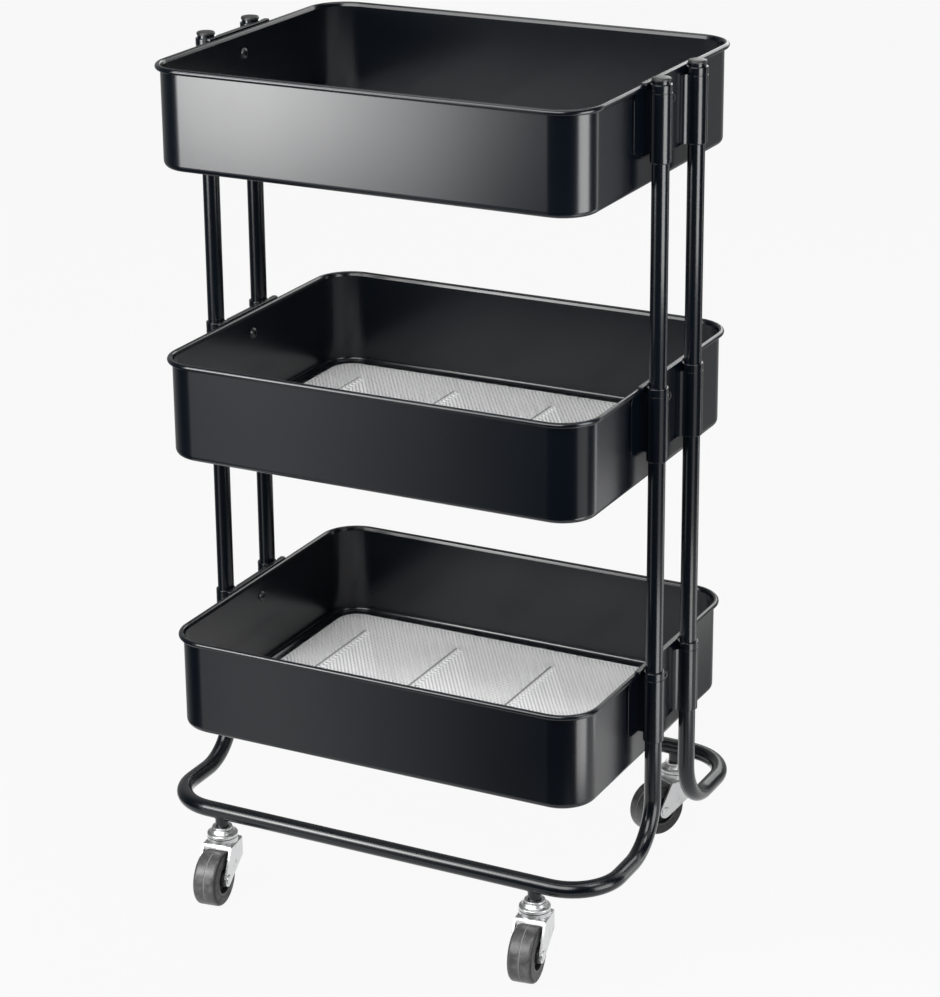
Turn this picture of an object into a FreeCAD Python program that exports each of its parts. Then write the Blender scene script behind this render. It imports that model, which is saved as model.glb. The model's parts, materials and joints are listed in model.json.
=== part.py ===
# Rolling basket cart: three sheet-steel baskets on four jointed posts, on a base of two bent
# tubes that run on four swivel casters.
# Millimetres, +Z up. The origin is on the floor under the middle of the cart. +X runs along the
# baskets' length, +Y runs away from the front.
import FreeCAD, Part
import math
import os

# Baskets: outside sizes of the sheet box, below the rolled rim
basket_length = 406.0
basket_width = 315.0
basket_height = 90.0
basket_sheet = 1.0
basket_corner_radius = 32.0
basket_floor_bend_radius = 6.0
rim_bead_diameter = 5.0
tier_spacing = 260.0
floor_border_width = 18.0
floor_opening_corner_radius = 18.0

# Floor mesh: one flat sheet on the border, with pressed ribs that run front to back. A plain grid
# of wide openings stands for the fine mesh.
mesh_thickness = 0.8
mesh_edge_gap = 10.0
mesh_rib_count = 4
mesh_rib_side_gap = 42.0
mesh_rib_end_gap = 34.5
mesh_rib_width = 7.0
mesh_rib_height = 1.4
mesh_border_width = 9.0
mesh_bar_width = 8.0
mesh_openings_between_ribs = 3
mesh_opening_rows = 8

# Posts: steel tube in three lengths, each with a swaged end inside the next piece
tube_diameter = 15.0
tube_wall = 1.0
post_half_spacing = 37.5
swage_length = 18.0
swage_clearance = 0.1

# Side brackets: two sleeves, a plate between them and a narrow flange over the rim
sleeve_wall = 1.6
sleeve_length = 66.0
sleeve_clearance = 0.1
sleeve_to_rim_gap = 0.8
sleeve_groove_depth = 0.5
sleeve_groove_width = 1.2
sleeve_collar_height = 6.0
sleeve_end_chamfer = 0.9
bracket_plate_thickness = 1.8
bracket_flange_thickness = 1.8
bracket_flange_width = 5.0
bracket_flange_margin = 3.5
bracket_ear_reach = 16.0
bracket_ear_thickness = 1.5
bracket_ear_corner_radius = 8.0
bracket_ear_rise = 8.0
bracket_web_width = 9.0
bracket_flange_edge_radius = 0.7
bracket_blend_radius = 7.0
bracket_fit_gap = 0.2

# Basket screws: one through each short wall into its bracket
screw_drop = 20.0
screw_diameter = 3.5
screw_clearance = 0.15
screw_head_diameter = 10.0
screw_head_height = 2.4
screw_head_edge_radius = 1.2
screw_socket_width = 3.0
screw_socket_depth = 1.4
screw_end_length = 1.0
screw_boss_wall = 3.3
nut_width = 7.0
nut_height = 3.0
nut_clearance = 0.08

# Post caps: a plug with a low rounded head on each post, whose top stands above its sleeve
post_stand = 3.0
cap_overhang = 0.7
cap_height = 2.8
cap_edge_radius = 1.6
cap_plug_length = 12.0
cap_plug_clearance = 0.1

# Base: two bent tubes, front and rear, whose upright ends carry the bottom basket's brackets
base_upright_length = 87.0
base_rail_inset = 4.5
base_foot_bend_radius = 45.0
base_corner_bend_radius = 45.0

# Casters: threaded stem in a welded boss, bell-shaped top cup, balls, fork and wheel
caster_corner_gap = 14.5
boss_wall = 2.1
boss_length = 6.5
boss_fit_gap = 0.1
stem_diameter = 8.0
stem_clearance = 0.1
stem_reach_in_tube = 5.0
cup_diameter = 28.0
cup_top_diameter = 18.5
cup_height = 9.0
cup_skirt_height = 3.0
cup_roof_thickness = 1.6
cup_edge_radius = 1.4
race_gap = 0.5
race_ring_width = 1.6
ball_diameter = 4.4
ball_gap = 0.1
ball_count = 12
ball_circle_diameter = 18.0
kingpin_diameter = 10.0
kingpin_head_overhang = 2.0
kingpin_head_height = 2.0
kingpin_head_edge_radius = 1.2
pivot_clearance = 0.1
running_gap = 0.3

fork_sheet = 2.0
fork_bend_radius = 2.0
fork_leg_rear_reach = 11.0
fork_leg_front_reach = 14.0
fork_leg_straight_drop = 18.0
fork_leg_end_radius = 6.5
fork_side_gap = 1.5

wheel_diameter = 50.0
wheel_width = 22.0
wheel_trail = 22.0
wheel_top_gap = 1.5
tyre_thickness = 9.0
tyre_edge_radius = 3.5
tyre_groove_width = 1.2
tyre_groove_depth = 0.8
hub_rim_thickness = 3.0
hub_web_thickness = 12.0
hub_boss_wall = 3.9
hub_side_gap = 0.4
axle_diameter = 6.0
axle_clearance = 0.1
axle_head_overhang = 1.5
axle_head_height = 1.4
axle_head_edge_radius = 1.1

# Which way each wheel trails at rest, as an angle from +X, read from the photograph.
# The rear left caster is hidden: it mirrors the front pair, so the cart's outline stays centred.
front_trail_angle = -82.0
rear_right_trail_angle = -118.0
rear_left_trail_angle = 98.0

# One overrun serves all cuts, and edges are picked by place to within one tolerance
overrun = 2.0
match_tolerance = 0.02

# Radii and halves
tube_radius = tube_diameter / 2
tube_bore_radius = tube_radius - tube_wall
half_length = basket_length / 2
half_width = basket_width / 2
rim_bead_radius = rim_bead_diameter / 2
rim_bead_offset = rim_bead_radius - basket_sheet / 2
sleeve_bore_radius = tube_radius + sleeve_clearance
sleeve_radius = sleeve_bore_radius + sleeve_wall
cap_radius = tube_radius + cap_overhang
stem_radius = stem_diameter / 2
stem_hole_radius = stem_radius + stem_clearance
boss_radius = stem_hole_radius + boss_wall
screw_hole_radius = screw_diameter / 2 + screw_clearance
screw_boss_radius = screw_hole_radius + screw_boss_wall
kingpin_radius = kingpin_diameter / 2
cup_radius = cup_diameter / 2
cup_top_radius = cup_top_diameter / 2
ball_radius = ball_diameter / 2
wheel_radius = wheel_diameter / 2
hub_radius = wheel_radius - tyre_thickness
axle_radius = axle_diameter / 2

# Heights, from the floor up through a caster to the rail, and on up the posts to the rims
crown_bottom = wheel_diameter + wheel_top_gap
crown_top = crown_bottom + fork_sheet
cup_bottom = crown_top + ball_diameter + ball_gap
race_top = cup_bottom - race_gap
boss_bottom = cup_bottom + cup_height
base_rail_height = boss_bottom + boss_length + tube_radius
joint_drop = sleeve_length / 2
bottom_joint_height = base_rail_height + base_foot_bend_radius + base_upright_length + tube_wall
bottom_rim_height = bottom_joint_height + joint_drop
rim_heights = {
    "top": bottom_rim_height + 2 * tier_spacing,
    "middle": bottom_rim_height + tier_spacing,
    "bottom": bottom_rim_height,
}

# Places along and across the cart
rim_reach = half_length + rim_bead_offset + rim_bead_radius
plate_inner = rim_reach + bracket_fit_gap
plate_outer = plate_inner + bracket_plate_thickness
wall_face = half_length + bracket_fit_gap
post_x = rim_reach + sleeve_to_rim_gap + sleeve_radius
base_rail_half_spacing = half_width - base_rail_inset
caster_half_spacing = post_x - base_corner_bend_radius - caster_corner_gap
fork_inner_half = wheel_width / 2 + fork_side_gap
fork_outer_half = fork_inner_half + fork_sheet

up = FreeCAD.Vector(0, 0, 1)
along_x = FreeCAD.Vector(1, 0, 0)
along_y = FreeCAD.Vector(0, 1, 0)
origin = FreeCAD.Vector(0, 0, 0)


def point(x, y, z=0.0):
    return FreeCAD.Vector(x, y, z)


def save(name, shape):
    """Write one named piece, after a check that its solids are sound."""
    if not shape.isValid():
        raise ValueError("unsound shape: " + name)
    shape.exportStep("parts/" + name + ".step")
    print(name, "solids", len(shape.Solids), "volume", round(shape.Volume, 1))


def cylinder(radius, bottom, top, x=0.0, y=0.0):
    return Part.makeCylinder(radius, top - bottom, point(x, y, bottom), up)


def box(x_low, x_high, y_low, y_high, z_low, z_high):
    corner = point(x_low, y_low, z_low)
    return Part.makeBox(x_high - x_low, y_high - y_low, z_high - z_low, corner)


def straight_run(start, end):
    return Part.LineSegment(start, end).toShape()


def rounded_outline(half_x, half_y, radius, height):
    """Closed wire of a rectangle with round corners, centred on the origin."""
    edges = []
    diagonal = radius * math.sqrt(0.5)
    corners = [
        (half_x - radius, half_y - radius, 1, 1),
        (radius - half_x, half_y - radius, -1, 1),
        (radius - half_x, radius - half_y, -1, -1),
        (half_x - radius, radius - half_y, 1, -1),
    ]
    ends = []
    for centre_x, centre_y, side_x, side_y in corners:
        on_x_side = point(centre_x + side_x * radius, centre_y, height)
        on_y_side = point(centre_x, centre_y + side_y * radius, height)
        middle = point(centre_x + side_x * diagonal, centre_y + side_y * diagonal, height)
        if side_x == side_y:
            start, end = on_x_side, on_y_side
        else:
            start, end = on_y_side, on_x_side
        edges.append(Part.Arc(start, middle, end).toShape())
        ends.append((start, end))
    for index in range(len(ends)):
        following = ends[(index + 1) % len(ends)]
        edges.append(straight_run(ends[index][1], following[0]))
    return Part.Wire(Part.__sortEdges__(edges))


def rounded_block(half_x, half_y, radius, bottom, top):
    face = Part.Face(rounded_outline(half_x, half_y, radius, bottom))
    return face.extrude(point(0, 0, top - bottom))


def revolved(profile, x=0.0, y=0.0):
    """Solid turned about a vertical axis from (radius, height) points."""
    points = [point(x + radius, y, height) for radius, height in profile]
    face = Part.Face(Part.makePolygon(points + points[:1]))
    return face.revolve(point(x, y, 0), up, 360)


def level_edges(shape, height):
    """Edges of a shape that lie flat at one height."""
    found = []
    for edge in shape.Edges:
        bounds = edge.BoundBox
        if max(abs(bounds.ZMin - height), abs(bounds.ZMax - height)) < match_tolerance:
            found.append(edge)
    return found


def edges_along_x(edges):
    return [edge for edge in edges if max(edge.BoundBox.YLength, edge.BoundBox.ZLength) < match_tolerance]


def mirrored_x(shape):
    return shape.mirror(origin, along_x)


# Baskets
def basket_shell(rim_height):
    """Open sheet box with a bent floor edge, an open floor and a rolled rim."""
    bottom = rim_height - basket_height
    wall_top = rim_height - rim_bead_radius
    outer = rounded_block(half_length, half_width, basket_corner_radius, bottom, wall_top)
    outer = outer.makeFillet(basket_floor_bend_radius, level_edges(outer, bottom))
    inner = rounded_block(
        half_length - basket_sheet,
        half_width - basket_sheet,
        basket_corner_radius - basket_sheet,
        bottom + basket_sheet,
        wall_top + overrun,
    )
    inner_bend_radius = basket_floor_bend_radius - basket_sheet
    inner = inner.makeFillet(inner_bend_radius, level_edges(inner, bottom + basket_sheet))
    opening = rounded_block(
        half_length - floor_border_width,
        half_width - floor_border_width,
        floor_opening_corner_radius,
        bottom - overrun,
        bottom + basket_sheet + overrun,
    )
    bead_path = rounded_outline(
        half_length + rim_bead_offset,
        half_width + rim_bead_offset,
        basket_corner_radius + rim_bead_offset,
        wall_top,
    )
    bead_start = point(0, half_width + rim_bead_offset, wall_top)
    bead_section = Part.Wire(Part.makeCircle(rim_bead_radius, bead_start, along_x))
    bead = bead_path.makePipeShell([bead_section], True, False)
    screw_holes = Part.makeCylinder(
        screw_hole_radius,
        basket_length + 2 * overrun,
        point(-half_length - overrun, 0, rim_height - screw_drop),
        along_x,
    )
    return outer.cut(inner).cut(opening).fuse(bead).cut(screw_holes).removeSplitter()


def evenly_spaced(start, end, gaps):
    """Places that split the stretch from start to end into equal gaps, both ends included."""
    return [start + (end - start) * index / gaps for index in range(gaps + 1)]


def mesh_openings(half_x, half_y, corner_radius, ribs_x, bottom, top):
    """Grid of openings inside the sheet's solid border, with a bar below each rib."""
    field_x = half_x - mesh_border_width
    field_y = half_y - mesh_border_width
    half_bar = mesh_bar_width / 2
    openings = rounded_block(field_x, field_y, corner_radius - mesh_border_width, bottom, top)
    bars = []
    column_count = mesh_openings_between_ribs * (len(ribs_x) - 1)
    for x in evenly_spaced(ribs_x[0], ribs_x[-1], column_count):
        bars.append(box(x - half_bar, x + half_bar, -half_y, half_y, bottom, top))
    for y in evenly_spaced(-field_y - half_bar, field_y + half_bar, mesh_opening_rows)[1:-1]:
        bars.append(box(-half_x, half_x, y - half_bar, y + half_bar, bottom, top))
    return openings.cut(bars)


def floor_mesh(rim_height):
    """Flat mesh sheet on the basket's border, with raised ribs that have round ends."""
    bottom = rim_height - basket_height + basket_sheet
    sheet_top = bottom + mesh_thickness
    rib_top = sheet_top + mesh_rib_height
    half_x = half_length - basket_sheet - mesh_edge_gap
    half_y = half_width - basket_sheet - mesh_edge_gap
    corner_radius = basket_corner_radius - basket_sheet - mesh_edge_gap
    outer_rib_x = half_x - mesh_rib_side_gap
    ribs_x = evenly_spaced(-outer_rib_x, outer_rib_x, mesh_rib_count - 1)
    cut_bottom = bottom - overrun
    cut_top = sheet_top + overrun
    sheet = rounded_block(half_x, half_y, corner_radius, bottom, sheet_top)
    sheet = sheet.cut(mesh_openings(half_x, half_y, corner_radius, ribs_x, cut_bottom, cut_top))
    rib_half_width = mesh_rib_width / 2
    rib_end_y = half_y - mesh_rib_end_gap - rib_half_width
    for x in ribs_x:
        rib = box(x - rib_half_width, x + rib_half_width, -rib_end_y, rib_end_y, bottom, rib_top)
        for end_y in (-rib_end_y, rib_end_y):
            rib = rib.fuse(cylinder(rib_half_width, bottom, rib_top, x, end_y))
        sheet = sheet.fuse(rib)
    return sheet.removeSplitter()


# Side brackets
def sleeve_bar(y, rim_height):
    """Outside of one sleeve as a full bar, with a collar line near its top."""
    bottom = rim_height - sleeve_length
    groove_top = rim_height - sleeve_collar_height
    groove_bottom = groove_top - sleeve_groove_width
    groove_radius = sleeve_radius - sleeve_groove_depth
    profile = [
        (0, bottom),
        (sleeve_radius - sleeve_end_chamfer, bottom),
        (sleeve_radius, bottom + sleeve_end_chamfer),
        (sleeve_radius, groove_bottom),
        (groove_radius, groove_bottom),
        (groove_radius, groove_top),
        (sleeve_radius, groove_top),
        (sleeve_radius, rim_height),
        (0, rim_height),
    ]
    return revolved(profile, post_x, y)


def sleeve_blend(side, bottom, top):
    """Hollow curve where the plate runs out into the inner side of one sleeve."""
    post_y = side * post_half_spacing
    centre_x = plate_outer + bracket_blend_radius
    reach = sleeve_radius + bracket_blend_radius
    inward = math.sqrt(reach**2 - (post_x - centre_x) ** 2)
    axis = point(post_x, post_y, bottom)
    centre = point(centre_x, post_y - side * inward, bottom)
    on_plate = centre - along_x * bracket_blend_radius
    to_axis = (axis - centre).normalize()
    on_sleeve = centre + to_axis * bracket_blend_radius
    halfway = (to_axis - along_x).normalize()
    behind_axis = point(plate_inner, post_y, bottom)
    behind_curve = point(plate_inner, on_plate.y, bottom)
    edges = [
        Part.Arc(on_plate, centre + halfway * bracket_blend_radius, on_sleeve).toShape(),
        straight_run(on_sleeve, axis),
        straight_run(axis, behind_axis),
        straight_run(behind_axis, behind_curve),
        straight_run(behind_curve, on_plate),
    ]
    return Part.Face(Part.Wire(edges)).extrude(point(0, 0, top - bottom))


def bracket_flange(rim_height):
    """Narrow edge of the plate, bent in over the rim's bead, with room for the sleeves."""
    bottom = rim_height + bracket_fit_gap
    top = bottom + bracket_flange_thickness
    half_y = post_half_spacing + sleeve_radius + bracket_flange_margin
    flange = box(plate_outer - bracket_flange_width, plate_outer, -half_y, half_y, bottom, top)
    flange = flange.makeFillet(bracket_flange_edge_radius, level_edges(flange, top))
    for side in (-1, 1):
        sleeve_room = cylinder(
            sleeve_radius + bracket_fit_gap,
            bottom - overrun,
            top + overrun,
            post_x,
            side * post_half_spacing,
        )
        flange = flange.cut(sleeve_room)
    return flange


def bracket_ears(rim_height):
    """Flat plate on the basket's wall that shows beyond both sleeves."""
    half_y = post_half_spacing + sleeve_radius + bracket_ear_reach
    bottom = rim_height - sleeve_length + bracket_ear_rise
    top = rim_height - rim_bead_diameter - bracket_fit_gap
    ears = box(wall_face, wall_face + bracket_ear_thickness, -half_y, half_y, bottom, top)
    ears = ears.makeFillet(bracket_ear_corner_radius, edges_along_x(ears.Edges))
    for side in (-1, 1):
        y = side * post_half_spacing
        web = box(wall_face, post_x, y - bracket_web_width / 2, y + bracket_web_width / 2, bottom, top)
        ears = ears.fuse(web)
    return ears


def side_bracket(rim_height):
    """Right-hand bracket: sleeves, plate, flange over the rim, ears and screw boss."""
    bottom = rim_height - sleeve_length
    flange_bottom = rim_height + bracket_fit_gap
    screw_height = rim_height - screw_drop

    plate = box(plate_inner, plate_outer, -post_half_spacing, post_half_spacing, bottom, flange_bottom)
    boss_start = point(wall_face, 0, screw_height)
    boss = Part.makeCylinder(screw_boss_radius, plate_inner - wall_face, boss_start, along_x)
    body = plate.multiFuse([bracket_flange(rim_height), bracket_ears(rim_height), boss])
    for side in (-1, 1):
        blend = sleeve_blend(side, bottom + sleeve_end_chamfer, rim_height - sleeve_collar_height)
        body = body.multiFuse([blend, sleeve_bar(side * post_half_spacing, rim_height)])
    for side in (-1, 1):
        y = side * post_half_spacing
        body = body.cut(cylinder(sleeve_bore_radius, bottom - overrun, rim_height + overrun, post_x, y))
    hole_start = point(wall_face - overrun, 0, screw_height)
    hole = Part.makeCylinder(screw_hole_radius, plate_outer - wall_face + 2 * overrun, hole_start, along_x)
    return body.cut(hole).removeSplitter()


# Fasteners, each drawn for the right-hand wall
def hexagon_bar(width, x_low, x_high, z):
    """Hexagonal bar along X, width across flats."""
    radius = width / math.sqrt(3)
    sides = 6
    points = []
    for index in range(sides + 1):
        angle = 2 * math.pi * index / sides
        points.append(point(x_low, radius * math.cos(angle), z + radius * math.sin(angle)))
    return Part.Face(Part.makePolygon(points)).extrude(point(x_high - x_low, 0, 0))


def basket_screw(rim_height):
    """Screw with a domed, socketed head inside the basket and its end outside the nut."""
    z = rim_height - screw_drop
    head_back = half_length - basket_sheet
    head_front = head_back - screw_head_height
    shank_end = plate_outer + nut_height + screw_end_length
    head = Part.makeCylinder(screw_head_diameter / 2, screw_head_height, point(head_front, 0, z), along_x)
    front_edges = [edge for edge in head.Edges if edge.BoundBox.XMax < head_front + match_tolerance]
    head = head.makeFillet(screw_head_edge_radius, front_edges)
    shank = Part.makeCylinder(screw_diameter / 2, shank_end - head_back, point(head_back, 0, z), along_x)
    socket = hexagon_bar(screw_socket_width, head_front - overrun, head_front + screw_socket_depth, z)
    return head.fuse(shank).cut(socket).removeSplitter()


def basket_nut(rim_height):
    z = rim_height - screw_drop
    nut = hexagon_bar(nut_width, plate_outer, plate_outer + nut_height, z)
    bore_start = point(plate_outer - overrun, 0, z)
    bore_radius = screw_diameter / 2 + nut_clearance
    return nut.cut(Part.makeCylinder(bore_radius, nut_height + 2 * overrun, bore_start, along_x))


# Posts and caps
def swaged_end(x, y, shoulder_height):
    """Narrowed tube end that stands above a shoulder and fits the next tube's bore."""
    outer_radius = tube_bore_radius - swage_clearance
    inner_radius = outer_radius - tube_wall
    ring_bottom = shoulder_height - tube_wall
    top = shoulder_height + swage_length
    ring = cylinder(tube_radius, ring_bottom, shoulder_height, x, y)
    end = ring.fuse(cylinder(outer_radius, shoulder_height, top, x, y))
    return end.cut(cylinder(inner_radius, ring_bottom - overrun, top + overrun, x, y))


def straight_tube(x, y, bottom, top):
    outer = cylinder(tube_radius, bottom, top, x, y)
    return outer.cut(cylinder(tube_bore_radius, bottom - overrun, top + overrun, x, y))


def lower_post(x, y):
    """Tube from the bottom basket's joint to the middle one's, with its swaged end up."""
    shoulder_height = rim_heights["middle"] - joint_drop
    tube = straight_tube(x, y, bottom_joint_height, shoulder_height - tube_wall)
    return tube.fuse(swaged_end(x, y, shoulder_height)).removeSplitter()


def upper_post(x, y):
    return straight_tube(x, y, rim_heights["middle"] - joint_drop, rim_heights["top"] + post_stand)


def post_cap(x, y):
    """Plug cap: rounded head on the post's end, plain plug in its bore."""
    seat = rim_heights["top"] + post_stand
    head = cylinder(cap_radius, seat, seat + cap_height, x, y)
    head = head.makeFillet(cap_edge_radius, level_edges(head, seat + cap_height))
    plug = cylinder(tube_bore_radius - cap_plug_clearance, seat - cap_plug_length, seat, x, y)
    return head.fuse(plug).removeSplitter()


# Base
def quarter_bend(start, corner, end):
    """Quarter circle from start to end, inside the corner where its tangents meet."""
    centre = start + end - corner
    middle = centre + (corner - centre) * math.sqrt(0.5)
    return Part.Arc(start, middle, end).toShape()


def base_path(side):
    """Centre line of one base tube: down a post, out, round the corner, along and back up."""
    top = bottom_joint_height - tube_wall
    foot_corner = point(post_x, side * post_half_spacing, base_rail_height)
    foot_start = foot_corner + up * base_foot_bend_radius
    foot_end = foot_corner + along_y * side * base_foot_bend_radius
    rail_corner = point(post_x, side * base_rail_half_spacing, base_rail_height)
    rail_start = rail_corner - along_y * side * base_corner_bend_radius
    rail_end = rail_corner - along_x * base_corner_bend_radius
    right_half = [
        straight_run(point(foot_corner.x, foot_corner.y, top), foot_start),
        quarter_bend(foot_start, foot_corner, foot_end),
        straight_run(foot_end, rail_start),
        quarter_bend(rail_start, rail_corner, rail_end),
    ]
    left_half = [mirrored_x(edge) for edge in right_half]
    rail = straight_run(rail_end, point(-rail_end.x, rail_end.y, rail_end.z))
    return Part.Wire(Part.__sortEdges__(right_half + [rail] + left_half))


def base_tube(side):
    """One bent base tube with swaged ends and two stem holes in its underside."""
    path = base_path(side)
    post_y = side * post_half_spacing
    rail_y = side * base_rail_half_spacing
    start = point(post_x, post_y, bottom_joint_height - tube_wall)
    outside, inside = (
        path.makePipeShell([Part.Wire(Part.makeCircle(radius, start, up))], True, False)
        for radius in (tube_radius, tube_bore_radius)
    )
    tube = outside.cut(inside)
    rail_underside = base_rail_height - tube_radius
    for end in (-1, 1):
        stem_x = end * caster_half_spacing
        stem_hole = cylinder(stem_hole_radius, rail_underside - overrun, base_rail_height, stem_x, rail_y)
        tube = tube.cut(stem_hole).fuse(swaged_end(end * post_x, post_y, bottom_joint_height))
    return tube.removeSplitter()


def stem_boss(x, y):
    """Threaded boss welded under the rail, its top hollowed to the tube."""
    boss = cylinder(boss_radius, boss_bottom, base_rail_height, x, y)
    saddle_start = point(x - boss_radius - overrun, y, base_rail_height)
    saddle = Part.makeCylinder(tube_radius + boss_fit_gap, 2 * (boss_radius + overrun), saddle_start, along_x)
    bore = cylinder(stem_hole_radius, boss_bottom - overrun, base_rail_height + overrun, x, y)
    return boss.cut(saddle).cut(bore)


# Casters, each drawn with its stem on the Z axis and its wheel trailing towards +X
def caster_stem():
    """Stem in the boss, pin through the cup and fork, and the riveted head below the fork."""
    head_top = crown_bottom - running_gap
    head_bottom = head_top - kingpin_head_height
    shoulder_height = boss_bottom - cup_roof_thickness
    stem_top = base_rail_height - tube_radius + stem_reach_in_tube
    head = cylinder(kingpin_radius + kingpin_head_overhang, head_bottom, head_top)
    head = head.makeFillet(kingpin_head_edge_radius, level_edges(head, head_bottom))
    pin = cylinder(kingpin_radius, head_top, shoulder_height)
    stem = cylinder(stem_radius, shoulder_height, stem_top)
    return head.multiFuse([pin, stem]).removeSplitter()


def caster_top_cup():
    """Bell whose flat underside runs on the balls, clamped between boss and pin."""
    shoulder_height = cup_bottom + cup_skirt_height
    profile = [
        (0, cup_bottom),
        (cup_radius, cup_bottom),
        (cup_radius, shoulder_height),
        (cup_top_radius, boss_bottom),
        (0, boss_bottom),
    ]
    bell = revolved(profile)
    for height in (shoulder_height, boss_bottom):
        bell = bell.makeFillet(cup_edge_radius, level_edges(bell, height))
    pin_bore_top = boss_bottom - cup_roof_thickness
    pin_bore = cylinder(kingpin_radius + pivot_clearance, cup_bottom - overrun, pin_bore_top)
    stem_bore = cylinder(stem_hole_radius, cup_bottom, boss_bottom + overrun)
    return bell.cut(pin_bore).cut(stem_bore)


def caster_balls():
    """Ring of loose balls on the fork's crown."""
    circle_radius = ball_circle_diameter / 2
    balls = []
    for index in range(ball_count):
        angle = 2 * math.pi * index / ball_count
        x = circle_radius * math.cos(angle)
        y = circle_radius * math.sin(angle)
        balls.append(Part.makeSphere(ball_radius, point(x, y, crown_top + ball_radius)))
    return Part.makeCompound(balls)


def touch_point(start, centre, radius, side):
    """Point where a line from start touches a circle in the XZ plane, on one side of it."""
    away = start - centre
    angle = math.atan2(away.z, away.x) + side * math.acos(radius / away.Length)
    return centre + point(radius * math.cos(angle), 0, radius * math.sin(angle))


def fork_side_face():
    """Side outline of the fork: wide at the crown, straight behind, round at the axle."""
    y = -fork_outer_half
    axle = point(wheel_trail, y, wheel_radius)
    top_rear = point(-fork_leg_rear_reach, y, crown_top)
    low_rear = top_rear - up * fork_leg_straight_drop
    top_front = point(fork_leg_front_reach, y, crown_top)
    rear_touch = touch_point(low_rear, axle, fork_leg_end_radius, 1)
    front_touch = touch_point(top_front, axle, fork_leg_end_radius, -1)
    far_end = axle + (axle - top_rear).normalize() * fork_leg_end_radius
    edges = [
        straight_run(top_rear, low_rear),
        straight_run(low_rear, rear_touch),
        Part.Arc(rear_touch, far_end, front_touch).toShape(),
        straight_run(front_touch, top_front),
        straight_run(top_front, top_rear),
    ]
    return Part.Face(Part.Wire(edges))


def caster_fork():
    """Pressed fork: two tapering legs bent down from a crown that carries the ball ring."""
    fork = fork_side_face().extrude(along_y * 2 * fork_outer_half)
    fork = fork.makeFillet(fork_bend_radius, edges_along_x(level_edges(fork, crown_top)))
    bounds = fork.BoundBox
    wheel_space = box(
        bounds.XMin - overrun,
        bounds.XMax + overrun,
        -fork_inner_half,
        fork_inner_half,
        bounds.ZMin - overrun,
        crown_bottom,
    )
    ring = cylinder(cup_radius, crown_bottom, race_top)
    ball_space = cylinder(cup_radius - race_ring_width, crown_top, race_top + overrun)
    pin_hole = cylinder(kingpin_radius + pivot_clearance, crown_bottom - overrun, crown_top + overrun)
    axle_hole_start = point(wheel_trail, -fork_outer_half - overrun, wheel_radius)
    axle_hole = Part.makeCylinder(axle_radius, 2 * (fork_outer_half + overrun), axle_hole_start, along_y)
    fork = fork.cut(wheel_space).fuse(ring)
    return fork.cut(ball_space).cut(pin_hole).cut(axle_hole).removeSplitter()


def laid_on_axle(shape):
    """A piece drawn upright about the Z axis, laid over and moved to the wheel's axle."""
    laid = shape.copy()
    laid.rotate(origin, along_x, 90)
    laid.translate(point(wheel_trail, 0, wheel_radius))
    return laid


def caster_axle():
    """Riveted axle: plain pin with a rounded head outside each leg."""
    end = fork_outer_half + axle_head_height
    axle = cylinder(axle_radius, -fork_outer_half, fork_outer_half)
    for low, high, outside in ((-end, -fork_outer_half, -end), (fork_outer_half, end, end)):
        head = cylinder(axle_radius + axle_head_overhang, low, high)
        head = head.makeFillet(axle_head_edge_radius, level_edges(head, outside))
        axle = axle.fuse(head)
    return laid_on_axle(axle.removeSplitter())


def caster_hub():
    """Moulded hub: bored boss, web and a rim that carries the tyre."""
    bore = axle_radius + axle_clearance
    boss = bore + hub_boss_wall
    rim_inner = hub_radius - hub_rim_thickness
    half_boss = fork_inner_half - hub_side_gap
    half_rim = wheel_width / 2
    half_web = hub_web_thickness / 2
    profile = [
        (bore, -half_boss),
        (boss, -half_boss),
        (boss, -half_web),
        (rim_inner, -half_web),
        (rim_inner, -half_rim),
        (hub_radius, -half_rim),
        (hub_radius, half_rim),
        (rim_inner, half_rim),
        (rim_inner, half_web),
        (boss, half_web),
        (boss, half_boss),
        (bore, half_boss),
    ]
    return laid_on_axle(revolved(profile))


def caster_tyre():
    """Hard tyre with rounded shoulders and one parting groove round its middle."""
    half_width_of_tread = wheel_width / 2
    tyre = cylinder(wheel_radius, -half_width_of_tread, half_width_of_tread)
    shoulders = level_edges(tyre, -half_width_of_tread) + level_edges(tyre, half_width_of_tread)
    tyre = tyre.makeFillet(tyre_edge_radius, shoulders)
    seat = cylinder(hub_radius, -half_width_of_tread - overrun, half_width_of_tread + overrun)
    half_groove = tyre_groove_width / 2
    groove_profile = [
        (wheel_radius - tyre_groove_depth, 0),
        (wheel_radius, -half_groove),
        (wheel_radius + overrun, -half_groove),
        (wheel_radius + overrun, half_groove),
        (wheel_radius, half_groove),
    ]
    return laid_on_axle(tyre.cut(seat).cut(revolved(groove_profile)))


def placed(shape, x, y, angle):
    """Copy of a caster piece, turned to its trail angle and set under its boss."""
    copy = shape.copy()
    copy.rotate(origin, up, angle)
    copy.translate(point(x, y))
    return copy


# Everything in its place
def save_baskets():
    screws = []
    nuts = []
    for tier, rim_height in rim_heights.items():
        bracket = side_bracket(rim_height)
        save(tier + "_basket", basket_shell(rim_height))
        save(tier + "_floor_mesh", floor_mesh(rim_height))
        save(tier + "_bracket_right", bracket)
        save(tier + "_bracket_left", mirrored_x(bracket))
        for fastener, group in ((basket_screw(rim_height), screws), (basket_nut(rim_height), nuts)):
            group.extend([fastener, mirrored_x(fastener)])
    save("basket_screws", Part.makeCompound(screws))
    save("basket_nuts", Part.makeCompound(nuts))


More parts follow.
